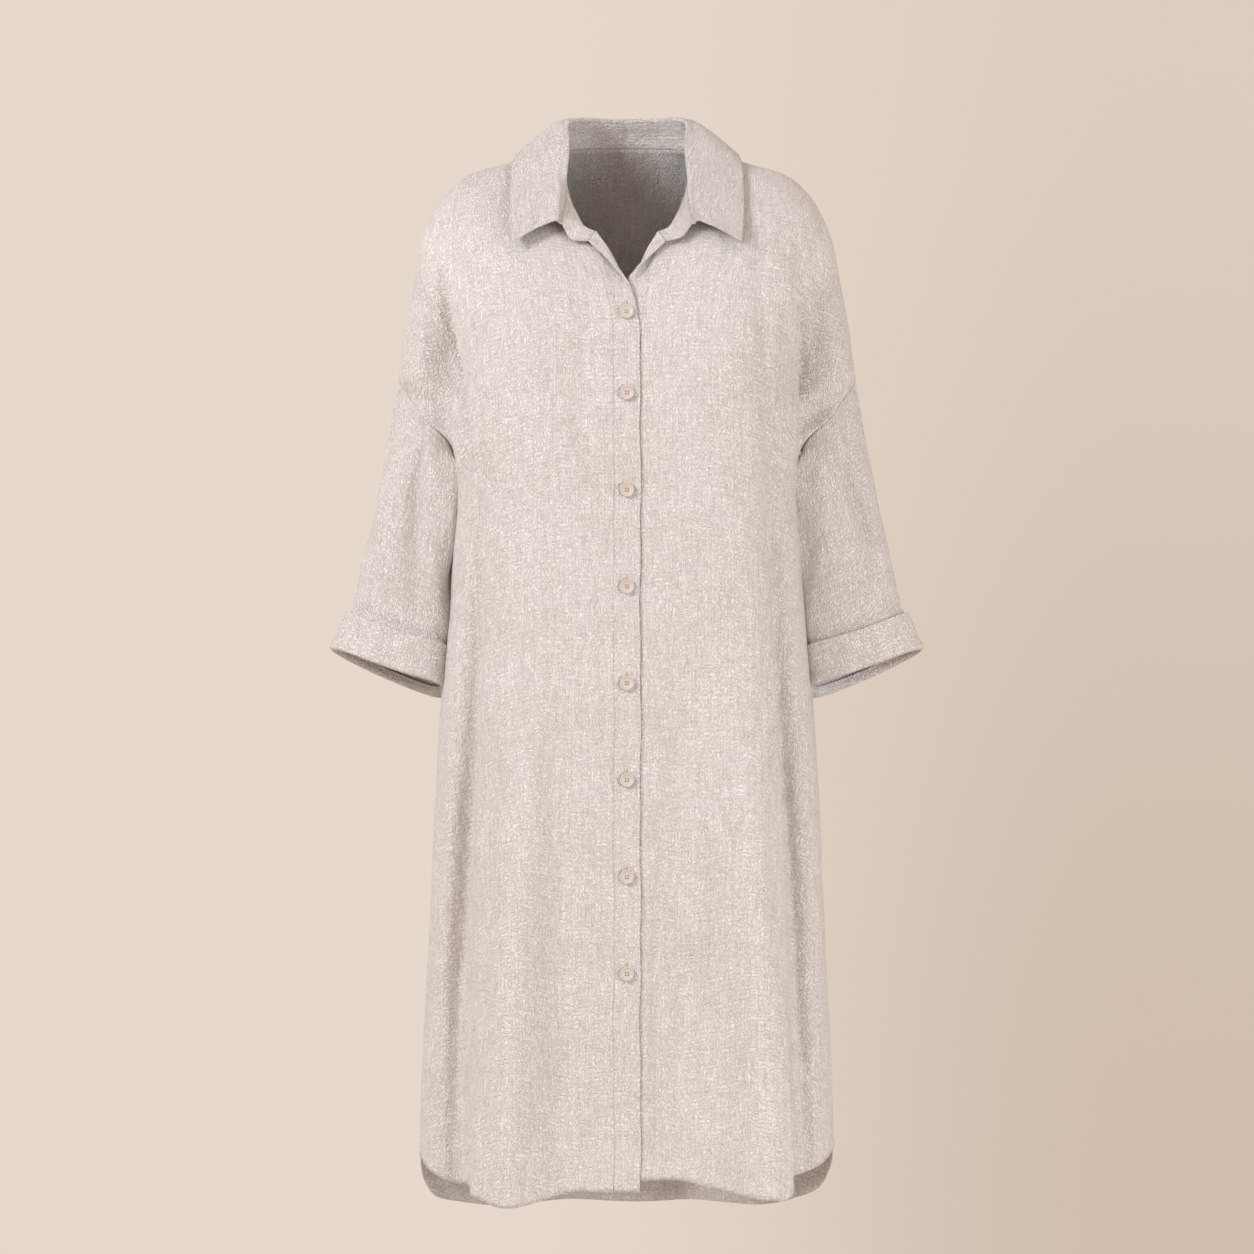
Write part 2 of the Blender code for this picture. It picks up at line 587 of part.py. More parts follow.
def sleeves(collection, front_sheets, back_sheets):
    """Dropped sleeves from the armhole seam to the turned-up cuffs, and the cuffs."""
    table = np.array(SLEEVE, float)
    for side, word in ((-1, "right"), (1, "left")):
        loop = armhole(front_sheets[side], back_sheets[side])
        half = len(loop) // 2
        front_along = lengths(loop[: half + 1])
        back_along = lengths(np.concatenate([loop[half:], loop[:1]]))
        turn = np.concatenate([np.pi * front_along / front_along[-1],
                               np.pi * (1 + back_along[1:-1] / back_along[-1])])
        start = ring_points(SLEEVE[0], turn, side)
        places = lengths(table[:, :4])
        at = np.linspace(0, places[-1], SLEEVE_RINGS + 1)
        at = np.concatenate([[0, at[1] * FIRST_RING], at[1:]])
        rings = []
        for place in at:
            ring = Ring(*through(table, places, [place])[0])
            points = ring_points(ring, turn, side)
            down = place / places[-1]
            points += (loop - start) * (1 - ease(down, 0.0, 0.55))
            centre = points.mean(axis=0)
            for fold in SLEEVE_FOLDS:
                if fold.side == side:
                    away = np.exp(-(((turn - fold.turn) / fold.wide) ** 2)) * fold.out * MM
                    away *= ease(down, 0.05, 0.4) * (1 - ease(down, 0.6, 0.85))
                    radial = (points - centre) * (1, 1, 0)
                    points += radial / np.linalg.norm(radial, axis=1)[:, None] * away[:, None]
            rings.append(points)
        rings = trimmed(rings, first=ARMHOLE_TRIM, last=SEAM_TRIM)
        loft("sleeve_" + word, rings, collection, flip=side > 0, closed=True)

        lip_top = mixed(CUFF_TOP, CUFF_BOTTOM, 1 - CUFF_LIP)
        lips = [ring_points(mixed(lip_top, CUFF_BOTTOM, share), turn, side, CUFF_SPACE + WALL)
                for share in LIP_SHARES]
        drop = ring_points(CUFF_BOTTOM, turn, side, (CUFF_SPACE + WALL) / 2) + (0, 0, -CUFF_SAG)
        walls = [ring_points(mixed(CUFF_BOTTOM, CUFF_TOP, share), turn, side)
                 for share in CUFF_SHARES]
        profile = lips + [drop] + walls
        loft("cuff_" + word, np.array(profile), collection, flip=side < 0, closed=True)


def button_mesh():
    """A turned button: raised rim round a dished middle, with a rounded underside."""
    mesh = bpy.data.meshes.new("button")
    points = [(r * BUTTON_RADIUS, 0, h * BUTTON_THICKNESS) for r, h in BUTTON_OUTLINE]
    mesh.from_pydata(points, [(k, k + 1) for k in range(len(points) - 1)], [])
    return mesh


def button(name, point, normal, collection):
    """A button that lies on the band at a point, facing along the normal."""
    piece = bpy.data.objects.new(name, button_mesh())
    collection.objects.link(piece)
    piece.data.materials.append(plain_material(name + "_resin", BUTTON_COLOUR, BUTTON_ROUGHNESS))
    turning = piece.modifiers.new("turning", "SCREW")
    turning.steps = turning.render_steps = BUTTON_STEPS
    turning.use_merge_vertices = True
    turning.merge_threshold = 0.00005
    piece.location = point
    piece.rotation_mode = "QUATERNION"
    piece.rotation_quaternion = Vector(normal).to_track_quat("Z", "Y")
    return piece


def buttons(collection, band):
    """Eight fastened buttons down the middle of the upper band."""
    heights = [BUTTON_FIRST_Z] + [BUTTON_SECOND_Z - BUTTON_SPACING * k
                                  for k in range(BUTTON_COUNT - 1)]
    for number, z in enumerate(heights, start=1):
        levels = z + BUTTON_RADIUS * np.array([-1.0, 0.0, 1.0])
        near = np.array([[np.interp(levels, line[::-1, 2], line[::-1, k]) for k in (0, 1)]
                         for line in band.swapaxes(0, 1)]).swapaxes(1, 2)
        near = near[np.abs(near[:, 1, 0]) < BUTTON_RADIUS * 1.2]
        low, high = near[:, 0, 1].mean(), near[:, 2, 1].mean()
        normal = np.array([0, -2 * BUTTON_RADIUS, high - low])
        normal /= np.linalg.norm(normal)
        point = np.array([0, (low + high) / 2, z])
        places = np.stack([near[:, :, 0], near[:, :, 1], np.tile(levels, (len(near), 1))], axis=2)
        lift = max(0.0, ((places.reshape(-1, 3) - point) @ normal).max()) + BUTTON_LIFT
        button(f"button_{number}", point + normal * lift, normal, collection)


def build():
    for old in list(bpy.data.objects):
        bpy.data.objects.remove(old)
    shirt = bpy.data.collections.new("long_shirt")
    bpy.context.scene.collection.children.link(shirt)
    front_sheets = fronts(shirt)
    back_sheets = back(shirt)
    edges = bands(shirt, front_sheets)
    stand = collar_stand(shirt, back_sheets, front_sheets, edges)
    collar_leaf(shirt, stand)
    sleeves(shirt, front_sheets, back_sheets)
    buttons(shirt, edges[-1])


build()
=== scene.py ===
import math
from collections import namedtuple

import bpy
import numpy as np
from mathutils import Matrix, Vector


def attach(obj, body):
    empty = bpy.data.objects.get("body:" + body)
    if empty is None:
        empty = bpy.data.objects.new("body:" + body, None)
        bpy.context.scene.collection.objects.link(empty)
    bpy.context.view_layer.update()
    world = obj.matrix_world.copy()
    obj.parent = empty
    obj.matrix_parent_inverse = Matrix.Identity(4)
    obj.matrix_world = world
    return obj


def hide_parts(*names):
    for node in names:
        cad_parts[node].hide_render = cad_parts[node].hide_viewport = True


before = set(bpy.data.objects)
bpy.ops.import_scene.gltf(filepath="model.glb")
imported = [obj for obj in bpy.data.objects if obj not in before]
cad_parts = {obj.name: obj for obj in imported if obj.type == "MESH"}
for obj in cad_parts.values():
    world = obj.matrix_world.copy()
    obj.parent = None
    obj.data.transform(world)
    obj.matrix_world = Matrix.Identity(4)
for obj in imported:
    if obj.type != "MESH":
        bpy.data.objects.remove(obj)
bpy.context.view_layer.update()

# The room: a pale floor well below the hem, daylight from all round with a soft lamp at the upper
# left and a broader one at the right, and a level camera straight in front of the shirt.
FLOOR_HEIGHT = -1.42
FLOOR_RADIUS = 1.5
VIEW_DISTANCE = 4.2
VIEW_HEIGHT = -0.5056
VIEW_WIDTH = 1.3292
BACKDROP = (0.790, 0.686, 0.602, 1.0)
BACKDROP_DUSK = (0.630, 0.510, 0.420, 1.0)
DUSK_ACROSS = (-0.03, 0.13)
DUSK_UP = (-0.15, 0.16)
DUSK_LIFTS = 0.55
LAMP_AIM = (0, 0, -0.5)
FLOOR_COLOUR = (0.80, 0.73, 0.66, 1.0)

scene = bpy.context.scene
scene.view_settings.view_transform = "Standard"


class Socket:
    """A shader socket. Python operators on it add the Math nodes that work them out."""

    def __init__(self, tree, socket=None):
        self.tree, self.socket = tree, socket

    def node(self, kind, settings=None, values=None, result=0):
        made = self.tree.nodes.new("ShaderNode" + kind)
        for name, setting in (settings or {}).items():
            setattr(made, name, setting)
        for key, value in (values or {}).items():
            if isinstance(value, Socket):
                self.tree.links.new(value.socket, made.inputs[key])
            else:
                made.inputs[key].default_value = value
        return Socket(self.tree, made.outputs[result])

    def maths(self, operation, *values):
        return self.node("Math", {"operation": operation}, dict(enumerate(values)))

    def __add__(self, other):
        return self.maths("ADD", self, other)

    def __sub__(self, other):
        return self.maths("SUBTRACT", self, other)

    def __rsub__(self, other):
        return self.maths("SUBTRACT", other, self)

    def __mul__(self, other):
        return self.maths("MULTIPLY", self, other)

    def __truediv__(self, other):
        return self.maths("DIVIDE", self, other)

    def __rtruediv__(self, other):
        return self.maths("DIVIDE", other, self)

    def __abs__(self):
        return self.maths("ABSOLUTE", self)

    __radd__ = __add__

    def noise(self, x, y, detail=1.0):
        spot = self.node("CombineXYZ", values={0: x, 1: y})
        return self.node("TexNoise", {"noise_dimensions": "2D"},
                         {"Vector": spot, "Scale": 1.0, "Detail": detail, "Roughness": 0.55})

    def step(self, value, low, high):
        return self.node("MapRange", {"interpolation_type": "SMOOTHSTEP"},
                         {0: value, 1: low, 2: high, 3: 0.0, 4: 1.0})


world = bpy.data.worlds.new("room")
world.use_nodes = True
room = Socket(world.node_tree)
toward = room.node("TexCoord")
right = room.node("SeparateXYZ", values={0: toward}, result=0)
up = room.node("SeparateXYZ", values={0: toward}, result=2)
dusk = room.step(right, *DUSK_ACROSS) * (1.0 - room.step(up, *DUSK_UP) * DUSK_LIFTS)
wall = room.node("Mix", {"data_type": "RGBA"}, {0: dusk, 6: BACKDROP, 7: BACKDROP_DUSK}, 2)
world.node_tree.links.new(wall.socket, world.node_tree.nodes["Background"].inputs["Color"])
scene.world = world

camera = bpy.data.objects.new("camera", bpy.data.cameras.new("camera"))
camera.data.angle = 2 * math.atan(VIEW_WIDTH / 2 / VIEW_DISTANCE)
camera.location = (0, -VIEW_DISTANCE, VIEW_HEIGHT)
camera.rotation_euler = (math.pi / 2, 0, 0)
scene.collection.objects.link(camera)
scene.camera = camera

Lamp = namedtuple("Lamp", "name place size power colour")
LAMPS = (
    Lamp("upper_left_lamp", (-2.3, -1.8, 1.1), 1.1, 80, (0.89, 0.945, 1.0)),
    Lamp("right_lamp", (2.6, -2.4, -0.5), 2.2, 72, (0.90, 0.95, 1.0)),
)
for lamp in LAMPS:
    light = bpy.data.lights.new(lamp.name, "AREA")
    light.size = lamp.size
    light.energy = lamp.power
    light.color = lamp.colour
    holder = bpy.data.objects.new(lamp.name, light)
    holder.location = lamp.place
    aim = Vector(LAMP_AIM) - Vector(lamp.place)
    holder.rotation_euler = aim.to_track_quat("-Z", "Y").to_euler()
    scene.collection.objects.link(holder)

bpy.ops.mesh.primitive_circle_add(vertices=128, radius=FLOOR_RADIUS, fill_type="NGON",
                                  location=(0, 0, FLOOR_HEIGHT))
floor = bpy.context.object
floor.name = "floor"
floor_paint = bpy.data.materials.new("floor_paint")
floor_paint.use_nodes = True
floor_paint.node_tree.nodes["Principled BSDF"].inputs["Base Color"].default_value = FLOOR_COLOUR
floor_paint.node_tree.nodes["Principled BSDF"].inputs["Roughness"].default_value = 0.8
floor.data.materials.append(floor_paint)

# The linen: a light, washed, slubby plain weave in oatmeal. Thick and thin yarns run both ways,
# warp down the shirt and weft across, and washing has left a fine crinkle all over. Where a hem
# or an edge is turned and stitched, a row of thread lies in a shallow furrow with small puckers.
YARN = 0.0011
SLUB = 0.020
WEAVE_PITCH = 0.0008
CRINKLE = (0.0065, 0.015)
CLOUD = 0.11
FLECK = 0.0026
CREPE = (0.0033, 0.0046)
LINEN_PALE = (0.758, 0.724, 0.712, 1.0)
LINEN_DEEP = (0.500, 0.446, 0.402, 1.0)
THREAD_COLOUR = (0.77, 0.72, 0.685, 1.0)
STITCH_LENGTH = 0.0030
STITCH_HALF_WIDTH = 0.00035
NO_STITCH = 0.05
# How much each part of the weave lightens the cloth, and how far it stands up in metres.
# The crinkle and ridge shades paint the cloth lighter where the crinkle stands up: a painted highlight.
SHADE = {"plain": 0.49, "warp": 0.75, "weft": 0.8, "warp_bars": 0.44, "weft_bars": 0.24, "cloud": 0.20,
         "crinkle_bump_and_highlight": 0.35, "fleck": 0.5, "ridge_bump_and_highlight": 0.26}
RELIEF = {"warp": 0.00016, "weft": 0.00018, "bars": 0.00016, "crinkle_bump_and_highlight": 0.0014, "fleck": 0.0006,
          "ridge_bump_and_highlight": 0.00095, "weave": 0.00003, "thread": 0.0003, "furrow": 0.00025, "pucker": 0.0012}
RIDGE_WIDE = 0.05
FURROW_WIDE = 0.0011
PUCKER = (0.0055, 0.02)
PUCKER_FADES = (0.001, 0.008)
THREAD_COVERS = 0.75


def linen(name):
    material = bpy.data.materials.new(name)
    material.use_nodes = True
    shader = material.node_tree.nodes["Principled BSDF"]
    cloth = Socket(material.node_tree)
    cut = cloth.node("UVMap", {"uv_map": "cut"})
    u = cloth.node("SeparateXYZ", values={0: cut}, result=0)
    v = cloth.node("SeparateXYZ", values={0: cut}, result=1)
    stitch = cloth.node("Attribute", {"attribute_name": "stitch"}, result=2)
    run = cloth.node("Attribute", {"attribute_name": "run"}, result=2)

    warp = cloth.noise(u / YARN, v / SLUB, 2.0)
    weft = cloth.noise(u / SLUB + 40.0, v / YARN, 2.0)
    warp_bars = cloth.noise(u / (YARN * 3.2) + 90.0, v / (SLUB * 3.0))
    weft_bars = cloth.noise(u / (SLUB * 2.0), v / (YARN * 2.6) + 70.0)
    crinkle_bump_and_highlight = cloth.noise(u / CRINKLE[0], v / CRINKLE[1] + 20.0, 3.0)
    cloud = cloth.noise(u / CLOUD, v / CLOUD)
    weave = cloth.maths("SINE", u * (2 * math.pi / WEAVE_PITCH)) * cloth.maths(
        "SINE", v * (2 * math.pi / WEAVE_PITCH))

    fleck = cloth.noise(u / FLECK, v / (FLECK * 1.3) + 50.0, 2.0)
    crepe = cloth.noise(u / CREPE[0], v / CREPE[1] + 7.0, 2.0) - 0.5
    ridge_bump_and_highlight = 1.0 / (1.0 + (crepe / RIDGE_WIDE) * (crepe / RIDGE_WIDE))
    threads = (warp - 0.5) * SHADE["warp"] + (weft - 0.5) * SHADE["weft"]
    bars = (warp_bars - 0.5) * SHADE["warp_bars"] + (weft_bars - 0.5) * SHADE["weft_bars"]
    # Lighter where the crinkle and its crepe ridges stand up in the bump: painted highlight on their tops.
    shade = (SHADE["plain"] + threads + bars + (cloud - 0.5) * SHADE["cloud"]
             + (crinkle_bump_and_highlight - 0.5) * SHADE["crinkle_bump_and_highlight"] + (fleck - 0.5) * SHADE["fleck"] + ridge_bump_and_highlight * SHADE["ridge_bump_and_highlight"])
    shade = cloth.node("Clamp", values={0: shade})
    colour = cloth.node("Mix", {"data_type": "RGBA"}, {0: shade, 6: LINEN_DEEP, 7: LINEN_PALE}, 2)

    line = 1.0 - cloth.step(abs(stitch), STITCH_HALF_WIDTH * 0.6, STITCH_HALF_WIDTH * 1.6)
    dash = cloth.step(cloth.maths("SINE", run * (2 * math.pi / STITCH_LENGTH)), -0.85, -0.35)
    thread = line * dash
    colour = cloth.node("Mix", {"data_type": "RGBA"},
                        {0: thread * THREAD_COVERS, 6: colour, 7: THREAD_COLOUR}, 2)
    furrow = 1.0 / (1.0 + (stitch / FURROW_WIDE) * (stitch / FURROW_WIDE))
    near = 1.0 - cloth.step(abs(stitch), *PUCKER_FADES)
    pucker = cloth.noise(run / PUCKER[0], stitch / PUCKER[1]) * near

    height = (warp * RELIEF["warp"] + weft * RELIEF["weft"] + (warp_bars + weft_bars) * RELIEF["bars"]
              + crinkle_bump_and_highlight * RELIEF["crinkle_bump_and_highlight"] + fleck * RELIEF["fleck"] + ridge_bump_and_highlight * RELIEF["ridge_bump_and_highlight"]
              + weave * RELIEF["weave"] + thread * RELIEF["thread"] - furrow * RELIEF["furrow"]
              + pucker * RELIEF["pucker"])
    bump = cloth.node("Bump", values={"Height": height, "Distance": 1.0, "Strength": 1.0})
    material.node_tree.links.new(colour.socket, shader.inputs["Base Color"])
    material.node_tree.links.new(bump.socket, shader.inputs["Normal"])
    shader.inputs["Roughness"].default_value = 0.88
    shader.inputs["Specular IOR Level"].default_value = 0.25
    shader.inputs["Sheen Weight"].default_value = 0.12
    shader.inputs["Sheen Roughness"].default_value = 0.5
    return material


# The body: two fronts and a one-piece back, each one layer of linen, that hang from the
# shoulders, bust and blades. The shoulder drops past the wearer's own, so the panels turn over
# the upper arm to the armhole seam, and the hem is a shirt tail, longest behind.
MM = 0.001
BAND_WIDTH = 0.027
LAYER_STEP = 0.0009
LAYER_FADE = 0.3
SEAM_Y = 0.006
DENSE = 150
STEP = 0.0045
FRONT_STEP = 0.0025
BACK_STEP = 0.0037
CLOTH_WALL = 0.0009
HEM_TURNING = 0.0085
HEM_PROUD = 0.0006
HEM_EDGE = 0.0015
HEM_RIPPLE = 0.0007
HEM_RIPPLE_STEPS = (0.011, 0.010)
HEM_RIPPLE_WIDE = 0.010
SEAM_GROOVE = 0.0005
SEAM_GROOVE_WIDE = 0.0016
FRONT_ACROSS = 0.30
BACK_ACROSS = 0.64
# Over the shoulders the warp runs this much forward or back for each step down.
GRAIN_LEAN = 0.7
# Heights in mm below which the guides keep to the level sections, and where folds pull on the hem.
UPPER_FADES = (380, 620)
FOLD_HANGS = (900, 1080)
# Rumples: how high in mm, and how far apart across and down the cloth in metres.
BODY_RUMPLES = ((0.9, 0.036, 0.075), (0.45, 0.014, 0.034), (0.22, 0.0075, 0.016))

# Upper half of one front. Guides from the band seam to the seam at the shoulder or armhole.
Front = namedtuple("Front", "row band chest side crease arm edge")
FRONT = (
    Front("neck", (44, -96, -98), (60, -84, -84), (70, -63, -58), (76, -38, -31),
          (79, -16, -10), (79, 4, 0)),
    Front("shoulder", (29.6, -113, -129), (80, -110, -114), (107, -86, -82), (121, -55, -50),
          (127, -26, -24), (128, 4, -14)),
    Front("shoulder_end", (21, -121, -158), (87, -122, -146), (128, -107, -116), (158, -80, -84),
          (175, -42, -50), (178, 4, -33)),
    Front("upper_arm", (15, -127, -190), (90, -130, -183), (142, -116, -162), (178, -86, -134),
          (205, -54, -98), (211, 4, -80)),
    Front("mid_arm", (13.5, -132, -222), (92, -136, -220), (148, -119, -206), (185, -68, -186),
          (214, -58, -166), (229, 4, -155)),
    Front("drop", (13.5, -136, -258), (94, -139, -258), (151, -119, -250), (186, -54, -240),
          (216, -56, -240), (243, 4, -245)),
    Front("armhole", (13.5, -138, -290), (95, -139, -290), (151, -117, -285), (180, -70, -282),
          (190, -53, -284), (212, -54, -287)),
    Front("armhole_low", (13.5, -138, -322), (95, -138, -322), (150, -113, -319), (171, -86, -318),
          (179, -67, -317), (184, -50, -317)),
    Front("underarm_side", (13.5, -137, -355), (95, -137, -355), (147, -108, -353),
          (168, -82, -352), (177, -58, -351), (182, -32, -350)),
    Front("underarm", (13.5, -137, -382), (95, -136, -382), (146, -106, -381), (168, -78, -378),
          (180, -40, -374), (188, 6, -370)),
)
# Upper half of one back, from the middle of the back to the same seams.
Back = namedtuple("Back", "row centre blade side crease arm edge")
BACK = (
    Back("neck", (0, 75, 10), (30, 68, 9), (54, 50, 6), (68, 32, 3), (76, 18, 1), (79, 4, 0)),
    Back("shoulder", (0, 94, -38), (48, 92, -36), (88, 76, -32), (110, 54, -25),
         (122, 30, -18), (128, 4, -14)),
    Back("shoulder_end", (0, 106, -84), (64, 108, -82), (118, 94, -74), (150, 72, -60),
         (171, 40, -44), (178, 4, -33)),
    Back("upper_arm", (0, 113, -130), (76, 116, -132), (140, 106, -124), (176, 86, -108),
         (202, 52, -92), (211, 4, -80)),
    Back("mid_arm", (0, 117, -180), (82, 120, -182), (150, 110, -182), (188, 82, -172),
         (215, 60, -162), (229, 4, -155)),
    Back("drop", (0, 119, -235), (84, 121, -238), (152, 110, -242), (188, 78, -244),
         (218, 66, -244), (243, 4, -245)),
    Back("armhole", (0, 119, -275), (84, 121, -278), (152, 108, -284), (180, 86, -288),
         (194, 74, -289), (213, 62, -290)),
    Back("armhole_low", (0, 119, -312), (84, 120, -315), (150, 105, -319), (170, 90, -320),
         (180, 76, -320), (186, 60, -320)),
    Back("underarm_side", (0, 119, -350), (84, 120, -352), (148, 103, -353), (167, 86, -353),
         (177, 66, -352), (183, 42, -350)),
    Back("underarm", (0, 119, -382), (84, 120, -382), (146, 102, -380), (168, 80, -377),
         (180, 48, -373), (188, 6, -370)),
)
# Level sections below the underarm: half width, depth in front and behind, squareness.
Section = namedtuple("Section", "z half front back square")
BODY = (
    Section(-370, 183, 137, 119, 3.0),
    Section(-450, 187, 137, 119.5, 3.0),
    Section(-520, 190.5, 136.5, 120, 2.9),
    Section(-583, 196, 136.5, 121, 2.8),
    Section(-690, 203.5, 137, 122, 2.7),
    Section(-795, 207.5, 138, 124, 2.6),
    Section(-900, 213.5, 139, 126, 2.5),
    Section(-1000, 218.5, 140, 128, 2.5),
    Section(-1130, 221, 141, 130, 2.5),
)
SIDE_SEAM_LEVELS = (-379, -400, -440, -500, -580, -680, -780, -880, -980)
FRONT_SHARES = (None, 0.52, 0.80, 0.93, 0.988, 1.0)
BACK_SHARES = (0.0, 0.46, 0.80, 0.93, 0.985, 1.0)

# The shirt-tail hem: its height at each guide.
HEM_FRONT = {-1: (-1085, -1089, -1079, -1073, -1066, -1061),
             +1: (-1073, -1082, -1071, -1063, -1057, -1053)}
HEM_BACK = {-1: (-1131, -1132, -1128, -1118, -1095, -1061),
            +1: (-1131, -1132, -1124, -1110, -1085, -1053)}

# Folds that fall from the bust and blades: place across, width and height at top and bottom.
Fold = namedtuple("Fold", "place x_top x_end wide_top wide_end out top full")
FOLDS = (
    Fold("front", -94, -116, 26, 31, 33, -420, -1060),
    Fold("front", -158, -178, 12, 17, -15, -430, -900),
    Fold("front", -44, -52, 20, 24, -5, -520, -900),
    Fold("front", 106, 132, 24, 29, 33, -400, -1060),
    Fold("front", 150, 174, 12, 15, -15, -330, -900),
    Fold("front", 46, 54, 18, 22, -9, -440, -800),
    Fold("back", -108, -128, 28, 34, 24, -330, -1080),
    Fold("back", -60, -66, 22, 28, -14, -360, -900),
    Fold("back", -4, 6, 26, 36, 16, -420, -1080),
    Fold("back", 58, 72, 22, 28, -16, -380, -900),
    Fold("back", 112, 136, 26, 32, 26, -350, -1080),
)
FOLD_HANG = 0.28
# Creases, listed one by one: a path over the cloth in mm, from end to end, how wide, how far out, how
# much steeper one side is than the other, and how far the cloth slides sideways to lap over.
Crease = namedtuple("Crease", "path wide out lean slide", defaults=(0.0, 0.0))
BODY_CREASES = {
    "front": (
        Crease(((-148, -330), (-156, -478), (-162, -580), (-168, -683), (-174, -786), (-179, -889),
                (-180, -991), (-180, -1140)), 7.5, -14, 0.1),
        Crease(((-168, -430), (-176, -560), (-186, -750), (-196, -950)), 8, 2.5),
        Crease(((-150, -900), (-150, -1000), (-153, -1090), (-154, -1200)), 8, 4, 0.4, -4),
        Crease(((-82, -330), (-76, -478), (-72, -680), (-69, -890), (-64, -1060), (-62, -1200)),
               21, -5.5),
        Crease(((-130, -300), (-126, -480), (-124, -680), (-127, -890), (-125, -1060), (-124, -1200)),
               17, 4.5),
        Crease(((-46, -170), (-42, -250), (-50, -345)), 14, -3.5),
        Crease(((-104, -170), (-106, -230), (-100, -300)), 22, 3.5),
        Crease(((-36, -430), (-38, -600), (-34, -820)), 12, 2.0),
        Crease(((50, -420), (60, -580), (68, -700), (71, -800), (66, -920), (58, -1040)), 13, -4.0),
        Crease(((28, -740), (31, -890), (33, -1000), (34, -1140)), 9, -3.5, -0.2),
        Crease(((126, -310), (132, -400), (137, -478), (144, -580), (149, -683), (155, -786),
                (158, -889), (163, -991), (166, -1150)), 22, 10, -0.55),
        Crease(((146, -310), (151, -400), (158, -478), (163, -580), (169, -683), (177, -786),
                (180, -889), (186, -991), (191, -1150)), 7, -12, -0.1),
        Crease(((174, -400), (183, -520), (188, -640), (197, -800), (204, -950)), 8, 2.5),
        Crease(((152, -860), (156, -1000), (162, -1100), (164, -1200)), 8, 4, -0.4, 4),
        Crease(((134, -90), (141, -180), (144, -260), (150, -330), (158, -420)), 9, -3.8),
        Crease(((112, -110), (104, -200), (108, -300)), 18, 3.2),
        Crease(((66, -150), (72, -200), (66, -270)), 16, 2.6),
        Crease(((176, -112), (181, -180), (183, -250), (182, -350)), 3.6, -8.5, 0.2),
        Crease(((166, -130), (171, -210), (173, -330)), 9, 5.0),
        Crease(((-200, -110), (-186, -185), (-172, -250), (-169, -310), (-171, -370)),
               4.2, -12.0, -0.2),
        Crease(((-180, -130), (-170, -210), (-166, -330)), 9, 3.5),
        Crease(((-146, -110), (-150, -180), (-156, -250)), 9, -2.4),
        Crease(((156, -330), (138, -356), (110, -368)), 7, -1.8),
        Crease(((162, -372), (146, -420), (124, -456)), 8, -1.8),
        Crease(((-156, -330), (-138, -362), (-112, -378)), 7, -1.8),
        Crease(((-166, -372), (-150, -430), (-124, -470)), 8, -1.6),
        Crease(((216, -110), (221, -165), (224, -225)), 6, -3.0, 0.2),
        Crease(((-216, -130), (-222, -190), (-222, -240)), 6, -3.0, -0.2),
        Crease(((202, -110), (206, -165), (206, -240)), 7, 2.0),
    ),
    "back": (
        Crease(((-96, -280), (-104, -520), (-118, -900)), 13, 3.0, 0.2),
        Crease(((-140, -330), (-150, -560), (-160, -880)), 11, -3.2),
        Crease(((-30, -240), (-34, -480), (-40, -820)), 13, -2.4),
        Crease(((24, -300), (30, -560), (36, -900)), 12, 2.4),
        Crease(((92, -260), (98, -500), (104, -860)), 13, -2.8),
        Crease(((146, -320), (152, -600), (162, -940)), 11, 3.0, -0.2),
        Crease(((-60, -60), (-30, -110), (0, -130)), 10, 1.2),
        Crease(((60, -62), (34, -108), (4, -150)), 10, -1.3),
        Crease(((-176, -240), (-150, -300), (-118, -330)), 9, -2.2),
        Crease(((178, -244), (150, -306), (120, -342)), 9, -2.2),
        Crease(((-172, -300), (-150, -390), (-128, -460)), 9, 1.8),
        Crease(((170, -300), (148, -380), (124, -440)), 9, 1.8),
    ),
}


def through(points, places, at):
    """A smooth curve through the points, each at its own place, read at other places."""
    points, places, at = (np.asarray(v, float) for v in (points, places, at))
    steps = np.diff(places).reshape((-1,) + (1,) * (points.ndim - 1))
    chords = np.diff(points, axis=0) / steps
    slopes = np.empty_like(points)
    slopes[0], slopes[-1] = chords[0], chords[-1]
    slopes[1:-1] = (chords[:-1] * steps[1:] + chords[1:] * steps[:-1]) / (steps[1:] + steps[:-1])
    span = np.clip(np.searchsorted(places, at, side="right") - 1, 0, len(places) - 2)
    shape = (-1,) + (1,) * (points.ndim - 1)
    step = (places[span + 1] - places[span]).reshape(shape)
    t = ((at - places[span]) / (places[span + 1] - places[span])).reshape(shape)
    start, end = points[span], points[span + 1]
    return (start * (2 * t**3 - 3 * t**2 + 1) + slopes[span] * step * (t**3 - 2 * t**2 + t)
            + end * (3 * t**2 - 2 * t**3) + slopes[span + 1] * step * (t**3 - t**2))


def read(line, places, at):
    """Points of a dense line read at other places along it."""
    return np.stack([np.interp(at, places, line[:, k]) for k in range(3)], axis=-1)


def lengths(points):
    """Distances along a line of points, from its first point."""
    return np.concatenate([[0], np.cumsum(np.linalg.norm(np.diff(points, axis=0), axis=1))])


def ease(value, start, end):
    """0 before start and 1 after end, turning softly between."""
    t = np.clip((value - start) / (end - start), 0, 1)
    return t * t * (3 - 2 * t)


def section_at(z):
    """Half width, front depth, back depth and squareness of the body at a height in mm."""
    rows = np.array(BODY)[::-1]
    return [np.interp(z, rows[:, 0], rows[:, k]) for k in range(1, 5)]


